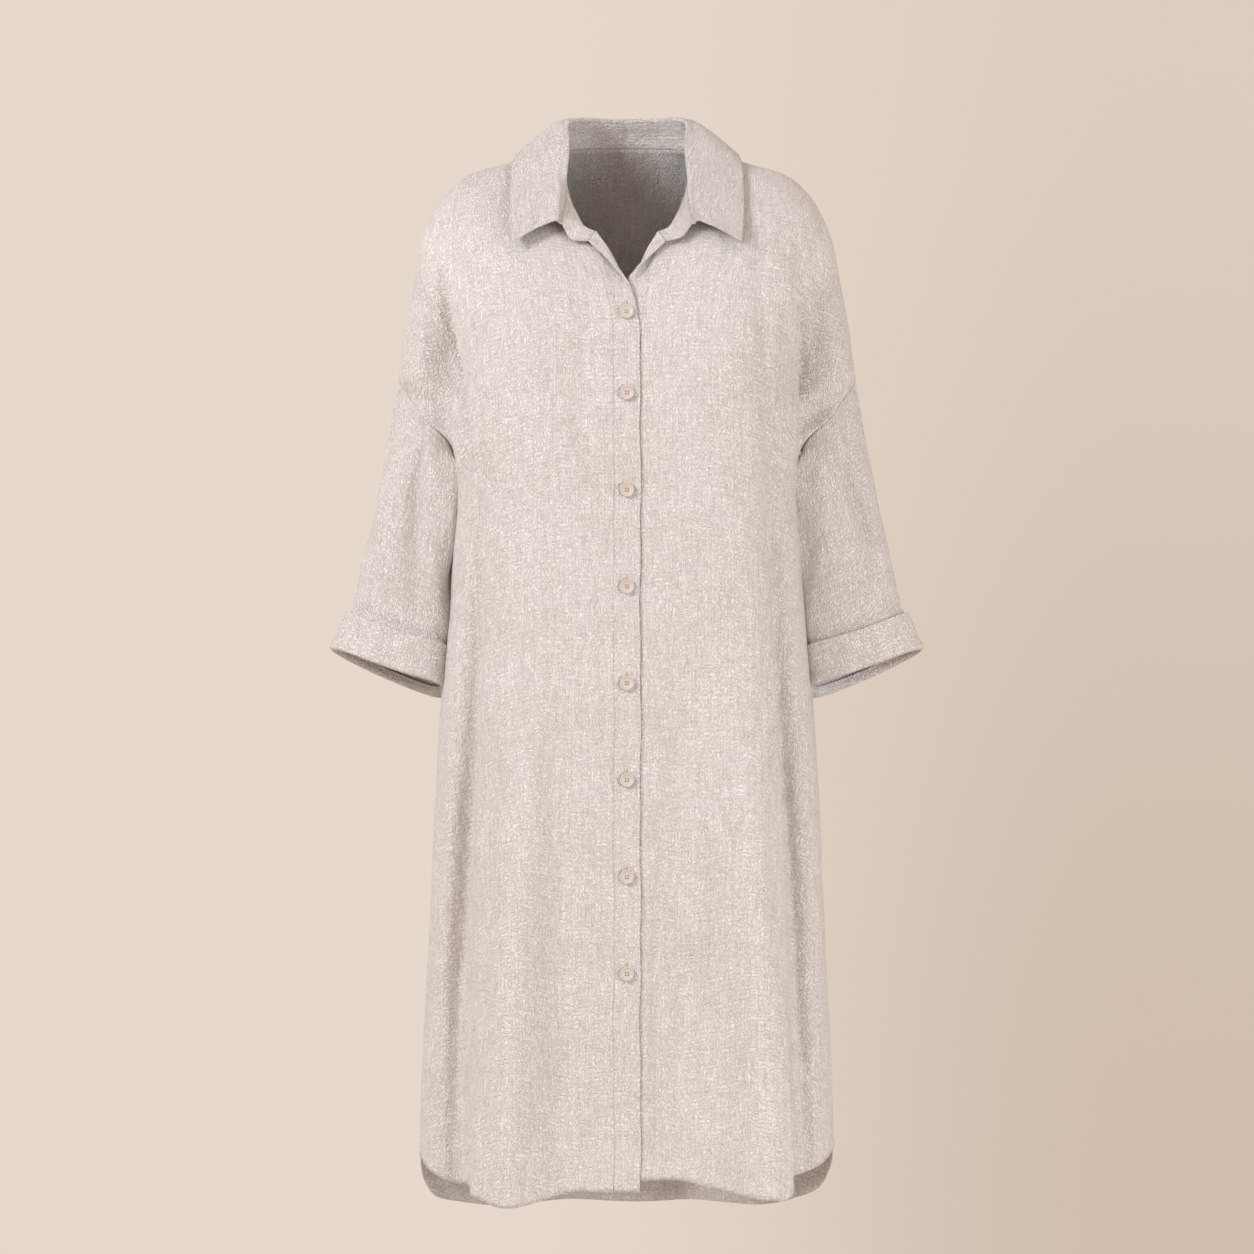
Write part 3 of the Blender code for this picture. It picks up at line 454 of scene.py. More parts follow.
def below_underarm(upper, shares, hem, is_front):
    """Guide points for the lower rows of one half, from the underarm row to the hem."""
    levels = list(SIDE_SEAM_LEVELS) + [hem[-1]]
    start = np.array(upper[-1][1:], float)
    rows = []
    offset = None
    for level in levels:
        down = (level - start[-1, 2]) / (hem[-1] - start[-1, 2])
        row = []
        for guide, share in enumerate(shares):
            z = start[guide, 2] + (hem[guide] - start[guide, 2]) * down
            half, front, back, square = section_at(z)
            across = BAND_WIDTH / 2 / MM / half if share is None else share
            deep = (1 - across**square) ** (1 / square)
            seam = SEAM_Y / MM
            y = seam - (front + seam) * deep if is_front else seam + (back - seam) * deep
            row.append((across * half, y, z))
        row = np.array(row)
        if offset is None:
            offset = (start - row) * np.array([1, 1, 0])
            offset[-1] = 0
        rows.append(row + offset * (1 - ease(-level, *UPPER_FADES)))
    return rows


def guides(is_front, side):
    """All guide points of one half (row, guide, xyz) in metres."""
    upper = FRONT if is_front else BACK
    shares = FRONT_SHARES if is_front else BACK_SHARES
    hem = (HEM_FRONT if is_front else HEM_BACK)[side]
    net = np.array([row[1:] for row in upper] + below_underarm(upper, shares, hem, is_front), float)
    if is_front:
        net[:, 0, 1] += side * LAYER_STEP / MM
        net[:, 1, 1] += side * LAYER_STEP / MM * LAYER_FADE
    return net * MM


FRONT_NET = {side: guides(True, side) for side in (-1, 1)}
BACK_NET = {side: guides(False, side) for side in (-1, 1)}
PLACES = np.concatenate([[0], np.cumsum(
    np.linalg.norm(np.diff(FRONT_NET[1], axis=0), axis=2).mean(axis=1))])
DROP, UNDERARM = 5, 9


def seam_through(points, at):
    """The seam guide: it turns sharply at the drop point and at the underarm."""
    parts = []
    for first, last in ((0, DROP), (DROP, UNDERARM), (UNDERARM, len(points) - 1)):
        inside = (at >= PLACES[first]) & ((at < PLACES[last]) | (last == len(points) - 1))
        parts.append(through(points[first : last + 1], PLACES[first : last + 1], at[inside]))
    return np.concatenate(parts)


def folded(row, place):
    """A dense row of a half body with the falling folds pressed into it."""
    along = np.gradient(row[:, :2], axis=0)
    normal = np.stack([along[:, 1], -along[:, 0]], axis=1)
    normal /= np.linalg.norm(normal, axis=1)[:, None]
    outward = np.sign((normal * (row[:, :2] - (0, SEAM_Y))).sum(axis=1))
    x, z = row[:, 0] / MM, row[:, 2] / MM
    out = np.zeros(len(row))
    for fold in FOLDS:
        if fold.place != place:
            continue
        down = ease(-z, -fold.top, -fold.full)
        middle = fold.x_top + (fold.x_end - fold.x_top) * down
        wide = fold.wide_top + (fold.wide_end - fold.wide_top) * down
        out += fold.out * down * np.exp(-(((x - middle) / wide) ** 2))
    result = row.copy()
    result[:, :2] += (normal * outward[:, None]) * out[:, None] * MM
    result[:, 2] -= FOLD_HANG * out * MM * ease(-z, *FOLD_HANGS)
    return result


def fine_places():
    """Rows about one STEP apart, with one each on the drop point and on the underarm."""
    parts = []
    for first, last in ((0, DROP), (DROP, UNDERARM), (UNDERARM, len(PLACES) - 1)):
        count = int(round((PLACES[last] - PLACES[first]) / STEP))
        parts.append(np.linspace(PLACES[first], PLACES[last], count, endpoint=False))
    return np.concatenate(parts + [[PLACES[-1]]])


def half_body(is_front, side):
    """A fine net of one half (row, DENSE points, xyz) from the middle to the seam."""
    net = (FRONT_NET if is_front else BACK_NET)[side]
    other = (BACK_NET if is_front else FRONT_NET)[side]
    at = fine_places()
    beyond = 2 * net[:, -1] - net[:, -2]
    shared = [k for k in range(len(net)) if k <= DROP or k >= UNDERARM]
    beyond[shared] = other[shared, -2]
    before = net[:, 1].copy()
    before[:, 0] = -net[:, 1, 0] if not is_front else 2 * net[:, 0, 0] - net[:, 1, 0]
    guides_down = [through(line, PLACES, at) for line in (before, *net[:, :-1].swapaxes(0, 1))]
    guides_down += [seam_through(net[:, -1], at), seam_through(beyond, at)]
    rows = []
    for k in range(len(at)):
        points = np.array([g[k] for g in guides_down])
        along = lengths(points)
        row = through(points, along, np.linspace(along[1], along[-2], DENSE))
        row[:, 0] *= side
        rows.append(folded(row, "front" if is_front else "back"))
    return np.array(rows)


def even_columns(net, count, lead=0.0015):
    """The net again with evenly spaced columns, and one more close to each edge for the seam."""
    result = []
    for row in net:
        along = lengths(row)
        at = np.linspace(0, along[-1], count)
        at = np.concatenate([[0, lead], at[1:-1], [along[-1] - lead, along[-1]]])
        result.append(read(row, along, at))
    return np.array(result)


def flat_cut(net):
    """Across and down distances on the cloth, near enough its flat pattern."""
    middle = net.shape[1] // 2
    across = np.array([lengths(row) for row in net])
    across -= across[:, middle : middle + 1]
    down = np.stack([lengths(net[:, k]) for k in range(net.shape[1])], axis=1)
    return across, down


def grain(net, first, forward):
    """Places on the flat cloth, whose warp runs straight down the shirt at the column first."""
    normal = outward(net, (0, SEAM_Y, 0))
    plumb = np.array([0, forward, -1.0])
    down = plumb - (normal @ plumb)[:, :, None] * normal
    down /= np.linalg.norm(down, axis=2)[:, :, None]
    side = np.cross(normal, down)
    step = np.diff(net, axis=1)
    u = np.cumsum((step * (side[:, 1:] + side[:, :-1]) / 2).sum(axis=2), axis=1)
    v = np.cumsum((step * (down[:, 1:] + down[:, :-1]) / 2).sum(axis=2), axis=1)
    u, v = (np.pad(value, ((0, 0), (1, 0))) for value in (u, v))
    u, v = (value - value[:, first : first + 1] for value in (u, v))
    return u, v + lengths(net[:, first])[:, None]


def outward(net, centre):
    """Unit normals that point away from the centre line."""
    normal = np.cross(np.gradient(net, axis=1), np.gradient(net, axis=0))
    normal /= np.maximum(np.linalg.norm(normal, axis=2), 1e-12)[:, :, None]
    away = net - centre
    away[:, :, 2] = 0
    return normal * np.sign((normal * away).sum())


CREASE_STEPS = 19
CREASE_REACH = 3.2
CREASE_TAPER = 0.8


def creased(a, b, creases):
    """How far out and how far sideways the creases move the points at (a, b), all in mm."""
    out, slide = np.zeros(a.shape), np.zeros(a.shape)
    for crease in creases:
        path = np.array(crease.path, float)
        share = np.linspace(0, 1, CREASE_STEPS)
        path = through(path, np.linspace(0, 1, len(path)), share)
        reach = crease.wide * CREASE_REACH
        near = ((a > path[:, 0].min() - reach) & (a < path[:, 0].max() + reach)
                & (b > path[:, 1].min() - reach) & (b < path[:, 1].max() + reach))
        point = np.stack([a[near], b[near]], axis=1)
        best = np.full(len(point), np.inf)
        signed, along = np.zeros(len(point)), np.zeros(len(point))
        for k in range(len(path) - 1):
            run = path[k + 1] - path[k]
            t = np.clip(((point - path[k]) @ run) / (run @ run), 0, 1)
            away = point - path[k] - t[:, None] * run
            distance = np.linalg.norm(away, axis=1)
            closer = distance < best
            best = np.where(closer, distance, best)
            turn = np.sign(run[0] * away[:, 1] - run[1] * away[:, 0])
            signed = np.where(closer, distance * turn, signed)
            along = np.where(closer, share[k] + t * (share[k + 1] - share[k]), along)
        wide = crease.wide * (1 + crease.lean * np.sign(signed))
        bell = np.exp(-((signed / wide) ** 2)) * np.sin(np.pi * along) ** CREASE_TAPER
        out[near] += crease.out * bell
        slide[near] += crease.slide * bell
    return out, slide


def rumple(u, v, step_u, step_v, seed):
    """Smooth uneven noise from -1 to 1 on the cloth, at the steps given in metres."""
    rng = np.random.default_rng(seed)
    x, y = (u - u.min()) / step_u, (v - v.min()) / step_v
    grid = rng.uniform(-1, 1, (int(x.max()) + 3, int(y.max()) + 3))
    i, j = x.astype(int), y.astype(int)
    s, t = x - i, y - j
    s, t = s * s * (3 - 2 * s), t * t * (3 - 2 * t)
    return ((grid[i, j] * (1 - s) + grid[i + 1, j] * s) * (1 - t)
            + (grid[i, j + 1] * (1 - s) + grid[i + 1, j + 1] * s) * t)


def add_rumples(out, u, v, rumples, seeds):
    """Rumples of several sizes, added to the heights in mm."""
    for (high, step_u, step_v), seed in zip(rumples, seeds):
        out += high * rumple(u, v, step_u, step_v, seed)


BUTTON_SECOND_Z = -0.2655
BUTTON_SPACING = 0.0993
BUTTON_WAVE = 0.0009
# Slow waves down the front edges, in depth and across: how far, how often and where they begin.
DEPTH_WAVES = ((0.0006, 131, 0), (0.0004, 47, 1))
ACROSS_WAVES = ((0.0006, 73, 2), (0.0005, 29, 0))
WAVES_WIDE = 0.045
WAVES_START = (0.17, 0.24)


def settled(net):
    """The small waves that the row of buttons and their holes put into the front edges."""
    x, z = net[..., 0], net[..., 2]
    near = np.exp(-((x / WAVES_WIDE) ** 2)) * (net[..., 1] < 0) * ease(-z, *WAVES_START)
    depth = BUTTON_WAVE * np.sin((z - BUTTON_SECOND_Z) * 2 * math.pi / BUTTON_SPACING)
    for far, often, begin in DEPTH_WAVES:
        depth += far * np.sin(z * often + begin)
    across = sum(far * np.sin(z * often + begin) for far, often, begin in ACROSS_WAVES)
    moved = net.copy()
    moved[..., 1] += depth * near
    moved[..., 0] += across * near
    return moved


def cloth_piece(name, net, stitch, run, material, wall=CLOTH_WALL, flip=False, offset=-1.0, flat=None):
    """A thin shell on a net of points, with its cut as the UV map and its stitching marked."""
    rows, columns = net.shape[:2]
    across, down = flat_cut(net)
    corner = (np.arange(rows - 1)[:, None] * columns + np.arange(columns - 1)).ravel()
    faces = np.stack([corner, corner + columns, corner + columns + 1, corner + 1], axis=1)
    faces = faces[:, ::-1] if flip else faces
    mesh = bpy.data.meshes.new(name)
    mesh.from_pydata(net.reshape(-1, 3).tolist(), [], faces.tolist())
    cut = mesh.uv_layers.new(name="cut")
    flat = flat or (across, down)
    places = np.stack([flat[0], -flat[1]], axis=-1).reshape(-1, 2)
    cut.data.foreach_set("uv", places[faces.ravel()].ravel().astype(np.float32))
    for word, values in (("stitch", stitch), ("run", run)):
        mark = mesh.attributes.new(word, "FLOAT", "POINT")
        mark.data.foreach_set("value", np.broadcast_to(values, (rows, columns)).ravel().astype(np.float32))
    mesh.shade_smooth()
    mesh.materials.append(material)
    piece = bpy.data.objects.new(name, mesh)
    scene.collection.objects.link(piece)
    shell = piece.modifiers.new("wall", "SOLIDIFY")
    shell.thickness = wall
    shell.offset = offset
    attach(piece, "root")
    return piece


def shaped(net, place, keep_edges, seed):
    """The net with its creases and rumples. Each edge in keep_edges stays where it is."""
    across, down = flat_cut(net)
    out, slide = creased(net[..., 0] / MM, net[..., 2] / MM, BODY_CREASES[place])
    add_rumples(out, across, down, BODY_RUMPLES, (seed, seed + 1, seed + 2))
    from_first = across - across[:, :1]
    from_last = across[:, -1:] - across
    groove = np.zeros(out.shape)
    fade = np.ones(out.shape)
    for edge, distance, reach, deep in (("first", from_first, 0.014, 0.0),
                                        ("last", from_last, 0.016, 1.0), ("top", down, 0.022, 1.0)):
        if edge in keep_edges:
            fade = fade * ease(distance, 0.0, reach)
            groove -= SEAM_GROOVE * deep * np.exp(-((distance / SEAM_GROOVE_WIDE) ** 2))
    normal = outward(net, (0, SEAM_Y, 0))
    moved = net + normal * (out * fade * MM + groove)[:, :, None]
    moved[..., 0] += slide * fade * MM
    return moved


def hem_marks(net):
    """Distance from the hem's row of stitches, and along it."""
    across, down = flat_cut(net)
    return (down[-1] - down) - HEM_TURNING, across


def hem_turned(net):
    """The hem's double turning stands a little proud and ripples along its stitches."""
    across, down = flat_cut(net)
    up = down[-1] - down
    proud = HEM_PROUD * (1 - ease(up, HEM_TURNING, HEM_TURNING + HEM_EDGE))
    near = np.exp(-(((up - HEM_TURNING) / HEM_RIPPLE_WIDE) ** 2))
    ripple = rumple(across, up, *HEM_RIPPLE_STEPS, 77) * near
    return net + outward(net, (0, SEAM_Y, 0)) * (proud + ripple * HEM_RIPPLE)[:, :, None]


# How much lower the front hem hangs than the plain curve, across the shirt.
HEM_DROP = {
    -1: ((-222, -4), (-205, 1), (-190, 7), (-176, 11), (-166, 8), (-156, 2), (-146, 0)),
    1: ((120, 0), (148, 2), (160, 7), (174, 8), (190, 5), (205, 1), (222, -3)),
}


def hem_hung(net, side):
    """The net with its hem let down where the cloth sags between the side seam and the first fold."""
    places, drops = np.array(HEM_DROP[side], float).T
    down = flat_cut(net)[1]
    near = ease(down - down[-1], -0.13, 0.0)
    moved = net.copy()
    moved[..., 2] -= np.interp(net[..., 0] / MM, places, drops) * MM * near
    return moved


linen_cloth = linen("linen")
front_cloth, back_cloth = {}, {}
for side, word in ((-1, "right"), (1, "left")):
    net = even_columns(half_body(True, side), int(FRONT_ACROSS / FRONT_STEP))
    front_cloth[side] = net
    flat = grain(net, 0, -GRAIN_LEAN)
    net = shaped(net, "front", ("first", "last", "top"), 11 + side)
    net = settled(hem_turned(hem_hung(net, side)))
    stitch, run = hem_marks(net)
    front = cloth_piece("front_" + word + "_cloth", net, stitch, run, linen_cloth, flip=side < 0, flat=flat)
    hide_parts("front_" + word)

right, left = half_body(False, -1), half_body(False, 1)
back_cloth = {-1: right, 1: left}
net = even_columns(np.concatenate([right[:, ::-1], left[:, 1:]], axis=1), int(BACK_ACROSS / BACK_STEP))
flat = grain(net, net.shape[1] // 2, GRAIN_LEAN)
net = hem_turned(shaped(net, "back", ("first", "last", "top"), 31))
stitch, run = hem_marks(net)
back = cloth_piece("back_cloth", net, stitch, run, linen_cloth, flip=True, flat=flat)
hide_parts("back")

# The front bands: two layers of linen, 27 mm wide, sewn to each front's edge and topstitched
# near both of their own. The one on the wearer's right laps over and has the buttonholes. Along
# the open neck both turn back on themselves.
BAND_LEAD = 0.012
BAND_LAP = 0.0003
TURN_FLAT = 0.0135
TURN_FULL = 0.0095
TURN_SPACE = 0.0018
TURN_SHARE = 0.3
BAND_POINTS = 26
BAND_WALL = 0.0013
BAND_STITCH = 0.0019

# The turned-back edge of the open neck: the roll and the free edge, by row of the fronts.
Turn = namedtuple("Turn", "row roll free")
TURN = {
    -1: (Turn(0, (33, -97, -96), (40, -108, -107)),
         Turn(1, (17, -107, -120), (20, -114, -127)),
         Turn(1.5, (10, -110, -134), (8.5, -118, -140)),
         Turn(2, (3, -114, -147), (-2, -121, -153)),
         Turn(3, (1.5, -127, -190), (-12, -127, -190)),
         Turn(4, (0, -132, -222), (-13.8, -132, -222))),
    +1: (Turn(0, (33, -97, -96), (40, -108, -107)),
         Turn(1, (19, -107, -121), (23, -114, -124)),
         Turn(1.5, (14, -112, -136), (11, -119, -135)),
         Turn(2, (10, -117, -151), (1.5, -114, -145)),
         Turn(3, (1.5, -126, -190), (-12, -125, -190)),
         Turn(4, (0, -132, -222), (-13.8, -132, -222))),
}


def turned_edge(side, seams, at):
    """Roll and free edge of a band beside the rows of its front."""
    table = TURN[side]
    turns = np.array([(turn.roll, turn.free) for turn in table], float) * MM
    turns[:, :, 0] *= side
    turns[:, :, 1] += side * LAYER_STEP
    places = np.interp([turn.row for turn in table], range(len(PLACES)), PLACES)
    rolls = through(turns, places, at)
    below = at > places[-1]
    half = BAND_WIDTH / 2 + BAND_LAP
    for k in np.flatnonzero(below):
        rolls[k, 0] = (0, seams[k, 1], seams[k, 2])
        rolls[k, 1] = (-side * half, seams[k, 1], seams[k, 2])
    return rolls[:, 0], rolls[:, 1]


band_nets = {}
for side, word in ((-1, "right"), (1, "left")):
    seams = front_cloth[side][:, 0]
    rolls, frees = turned_edge(side, seams, fine_places())
    rows = []
    for seam, roll, free, nearby in zip(seams, rolls, frees, front_cloth[side][:, 4]):
        before = seam + (nearby - seam) / np.linalg.norm(nearby - seam) * BAND_LEAD
        turned = (TURN_FLAT - np.linalg.norm(roll - free)) / (TURN_FLAT - TURN_FULL)
        space = (0, np.clip(turned, 0, 1) * TURN_SPACE, 0)
        under = roll + (seam - roll) * TURN_SHARE + space
        over = roll + (free - roll) * TURN_SHARE - np.array(space)
        points = np.array([before, seam, under, roll, over, free])
        along = lengths(points)
        rows.append(through(points, along, np.linspace(along[1], along[-1], BAND_POINTS)))
    band_nets[side] = net = np.array(rows)
    across, down = flat_cut(net)
    from_seam = across - across[:, :1]
    from_free = across[:, -1:] - across
    hem = down[-1] - down
    stitch = np.minimum(np.minimum(from_seam, from_free) - BAND_STITCH, hem - HEM_TURNING)
    run = across + down
    band_nets[side] = net = settled(net)
    band = cloth_piece("band_" + word + "_cloth", net, stitch, run, linen_cloth, BAND_WALL, flip=side > 0)
    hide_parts("band_" + word)

# The collar's stand: two layers with interlining, about 30 mm high behind, sewn round the neck
# seam to the ends of the bands. It is open, so its front ends turn back with the bands. The end
# on the wearer's right has a buttonhole.
STAND_FINE = 0.0022
STAND_ROWS = 20
COLLAR_WALL = 0.0016
STAND_END_MIDDLE = {-1: (-0.057, -0.1105, -0.1055), 1: (0.057, -0.1105, -0.1025)}

# Collar stand: its seam on the neckline, its middle and its top, from the back to the front end.
Stand = namedtuple("Stand", "place seam middle top")
STAND = (
    Stand("centre_back", (0, 75, 10), (0, 73, 23), (0, 68, 36)),
    Stand("back", (30, 68, 9), (29, 66, 23), (28, 62, 36)),
    Stand("back_side", (60, 43, 5), (56, 42, 20), (51, 40, 34)),
    Stand("shoulder", (79, 4, 0), (74, 5, 12), (65, 6, 24)),
    Stand("side", (78.5, -22, -16), (74, -20, -3), (64.5, -18, 6)),
    Stand("front_side", (74, -47, -41), (68, -43, -28), (64, -42, -19)),
    Stand("front", (61, -83, -82), (57, -74, -66), (64, -70, -54)),
    Stand("seam_end", (44, -96, -98), (48, -86, -85), (66, -85, -73)),
    Stand("roll_end", (33, -97, -96), (46, -100, -92), (68, -97, -81)),
    Stand("front_end", (40, -108, -107), (53, -110, -103), (67, -104, -89)),
)


def neckline(side):
    """The neck seam of one half: from the middle of the back to the band's free edge."""
    return np.concatenate([back_cloth[side][0], front_cloth[side][0, -2::-1], band_nets[side][0, 1:]])


halves = {}
for side in (-1, 1):
    seam = neckline(side)
    along = lengths(seam)
    table = np.array([(row.seam, row.middle, row.top) for row in STAND], float) * MM
    table[:, :, 0] *= side
    table[-1, 1] = STAND_END_MIDDLE[side]
    at_seam = [along[np.argmin(np.linalg.norm(seam - point, axis=1))] for point in table[:-3, 0]]
    fold = len(along) - BAND_POINTS + np.argmax(
        np.linalg.norm(band_nets[side][0] - band_nets[side][0, 0], axis=1)
        + np.linalg.norm(band_nets[side][0] - band_nets[side][0, -1], axis=1))
    places = np.array(at_seam + [along[-BAND_POINTS], along[fold], along[-1]])
    at = np.linspace(0, along[-1], int(along[-1] / STAND_FINE))
    net = through(table, places, at)
    net[:, 0] = read(seam, along, at)
    halves[side] = net
lines = []
for column in np.concatenate([halves[-1][:0:-1], halves[1]]):
    along = lengths(column)
    lines.append(through(column, along, np.linspace(0, along[-1], STAND_ROWS)))
stand_net = np.array(lines)
along_neck, up_stand = flat_cut(stand_net)[1], flat_cut(stand_net)[0]
up_stand = up_stand - up_stand[:, :1]
ends = np.minimum(along_neck, along_neck[-1] - along_neck)
stitch = np.minimum(up_stand, ends) - BAND_STITCH
stand = cloth_piece("collar_stand_cloth", stand_net, stitch, along_neck + up_stand, linen_cloth,
                    COLLAR_WALL, offset=0.0)
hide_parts("collar_stand")

# The collar's leaf: two layers with interlining, turned down over the stand, with a point at
# each front. It is topstitched 4 mm from its edge.
LEAF_RISE = 0.0035
LEAF_SWELL = ((0.33, 0.0035), (0.68, 0.0025))
LEAF_POINTS = 46
LEAF_DENSE = 160
LEAF_CROWDS = 1.25
LEAF_STITCH = 0.0045

# Collar leaf: where it turns over the stand and its outer edge, from the back to the point.
Leaf = namedtuple("Leaf", "place crest outer")
LEAF = (
    Leaf("centre_back", (0, 76, 41), (0, 107, -14)),
    Leaf("back", (30, 70, 41), (48, 101, -12)),
    Leaf("back_side", (57, 46, 39), (88, 72, -7)),
    Leaf("shoulder", (72, 8, 29), (113, 24, 1)),
    Leaf("side", (71, -18, 11), (120, -22, -14)),
    Leaf("front_side", (70, -45, -15), (122, -62, -50)),
    Leaf("front", (69, -76, -50), (121, -100, -88)),
    Leaf("point", (71, -107, -87), (118, -121, -109)),
)
top, below = stand_net[:, -1], stand_net[:, -2]
edge = np.gradient(top, axis=0)
edge /= np.linalg.norm(edge, axis=1)[:, None]
rise = top - below
rise -= (rise * edge).sum(axis=1)[:, None] * edge
rise /= np.linalg.norm(rise, axis=1)[:, None]
along = lengths(top)
middle = along[len(top) // 2]
stations = [row.top for row in STAND if row.place not in ("seam_end", "roll_end")]
places = np.array([along[np.argmin(np.linalg.norm(top - np.array(point) * MM, axis=1))]
                   for point in stations]) - middle
half = np.array([(row.crest, row.outer) for row in LEAF], float) * MM
whole = np.concatenate([half[:0:-1] * (-1, 1, 1), half])
edges = through(whole, np.concatenate([-places[:0:-1], places]), along - middle)
lines = []
for start, up, (crest, outer) in zip(top, rise, edges):
    away = outer - crest
    swell = [crest + away * share + (0, 0, out) for share, out in LEAF_SWELL]
    line = np.array([start, start + up * LEAF_RISE, crest, *swell, outer])
    along_line = lengths(line)
    dense = through(line, along_line, np.linspace(0, along_line[-1], LEAF_DENSE))
    along_dense = lengths(dense)
    at = along_dense[-1] * np.linspace(0, 1, LEAF_POINTS) ** LEAF_CROWDS
    lines.append(read(dense, along_dense, at))
leaf_net = np.array(lines)
out_leaf, along_leaf = flat_cut(leaf_net)
from_edge = out_leaf[:, -1:] - out_leaf
ends = np.minimum(along_leaf, along_leaf[-1] - along_leaf)
stitch = np.minimum(from_edge, ends) - LEAF_STITCH
leaf = cloth_piece("collar_leaf_cloth", leaf_net, stitch, along_leaf + out_leaf, linen_cloth,
                   COLLAR_WALL, offset=0.0)
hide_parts("collar_leaf")

# The sleeves: one layer each, set on the dropped armhole with a flat seam and closed by a seam
# under the arm. Each ends in a turned-up cuff of two layers, 45 mm high, stitched near its top
# edge. Just above the cuff the sleeve is drawn in a little.
SLEEVE_POINTS = 132
SLEEVE_RINGS = 84
CUFF_RINGS = 22
WALL = 0.0013
CUFF_CLOTH_WALL = 0.0015
CUFF_STITCH = 0.0017
# How much more than the sleeve the cuff's lower edge lifts in front, in mm.
CUFF_TILT = 3.5
# The sleeve's ring at the cuff's top edge, and the furrow over it: depth, height above and width.
CUFF_ROW = 4
CUFF_NIP = 0.0022
CUFF_NIP_ABOVE = 0.0030
CUFF_NIP_WIDE = 0.0042
# The sleeve's front inner corner stands fuller: where round it and how wide (turn, in radians),
# how far toward the body and the front, and over which share of the length it begins.
SLEEVE_CORNER = 2.3
CORNER_WIDE = 0.5
SLEEVE_FULL = (0.0205, 0.0135)
CORNER_BEGINS = 0.12
ARMHOLE_FADES = 0.55
FOLD_BEGINS, FOLD_ENDS = (0.05, 0.4), (0.6, 0.85)
SLEEVE_RUMPLES = ((0.7, 0.030, 0.05), (0.4, 0.013, 0.026), (0.2, 0.007, 0.014))
CUFF_RUMPLES = ((0.5, 0.03, 0.03), (0.3, 0.012, 0.015))

# Sleeve rings below the armhole: outer and inner points, middle depth, half depth, front lift.
Ring = namedtuple("Ring", "outer_x outer_z inner_x inner_z middle_y depth lift")
SLEEVE = (
    Ring(243, -245, 188, -370, 5, 58, 0),
    Ring(251, -290, 192.5, -378, 8, 60, 0),
    Ring(265, -365, 188.5, -425, 12, 58, 1),
    Ring(280.5, -433, 191.5, -488, 13, 53, 2),
    Ring(294, -488, 196.5, -535, 12, 48.5, 4),
    Ring(307, -518, 199.5, -566, 11, 46.5, 4),
)
CUFF_TOP = Ring(299.5, -490, 194.4, -534, 12, 50.8, 4)
CUFF_BOTTOM = Ring(315, -529, 197.2, -580, 11, 50.5, 4)
CUFF_SPACE = 0.0032
CUFF_LIP = 0.22
CUFF_SAG = 0.0008

# Soft folds down a sleeve: where round it (turn, in radians), how wide, and how far out in mm.
Soft = namedtuple("Soft", "side turn wide out")
SLEEVE_FOLDS = (
    Soft(-1, 0.9, 0.22, 2.6),
    Soft(-1, 2.3, 0.30, -4.0),
    Soft(1, 1.1, 0.24, -3.6),
    Soft(1, 1.9, 0.26, 3.0),
)
SLEEVE_CREASES = {
    -1: (
        Crease(((62, -20), (76, 50), (94, 120), (108, 200)), 12, -11, 0.2),
        Crease(((34, 40), (30, 100), (40, 160)), 9, 3.6),
        Crease(((110, 10), (120, 60), (132, 120)), 9, 4.0),
        Crease(((150, 60), (140, 110), (128, 165)), 8, -4.2),
        Crease(((-60, 20), (-70, 80), (-64, 150)), 10, -2.6),
        Crease(((-110, 30), (-118, 90), (-104, 170)), 9, 2.4),
    ),
    1: (
        Crease(((48, 0), (42, 70), (34, 140)), 8, -7.5, 0.2),
        Crease(((68, 30), (54, 110), (46, 190)), 9, -9.0, -0.2),
        Crease(((92, 20), (98, 80), (92, 150)), 9, 4.0),
        Crease(((128, 30), (120, 90), (132, 160)), 9, -4.2),
        Crease(((-56, 20), (-66, 90), (-60, 160)), 10, -2.4),
        Crease(((-104, 20), (-112, 90), (-100, 160)), 9, 2.6),
    ),
}


def ring_points(ring, turn, side, inset=0.0):
    """Points of an oval sleeve ring: turn 0 is its outer side, a quarter turn its front."""
    outer = np.array([ring.outer_x, 0, ring.outer_z]) * MM
    inner = np.array([ring.inner_x, 0, ring.inner_z]) * MM
    axis = (outer - inner) / 2
    axis -= axis / np.linalg.norm(axis) * inset
    centre = (outer + inner) / 2 + (0, ring.middle_y * MM, 0)
    deep = np.array([0, -(ring.depth * MM - inset), ring.lift * MM])
    points = centre + np.outer(np.cos(turn), axis) + np.outer(np.sin(turn), deep)
    points[:, 0] *= side
    return points


def mixed(ring_a, ring_b, share):
    return Ring(*(a + (b - a) * share for a, b in zip(ring_a, ring_b)))


def armhole(side):
    """The armhole seam as a closed line: from the underarm up the back and down the front."""
    at = fine_places()
    first = np.argmin(np.abs(at - PLACES[DROP]))
    last = np.argmin(np.abs(at - PLACES[UNDERARM]))
    front_line, back_line = front_cloth[side][:, -1], back_cloth[side][:, -1]
    return back_line[last:first:-1], front_line[first : last + 1]


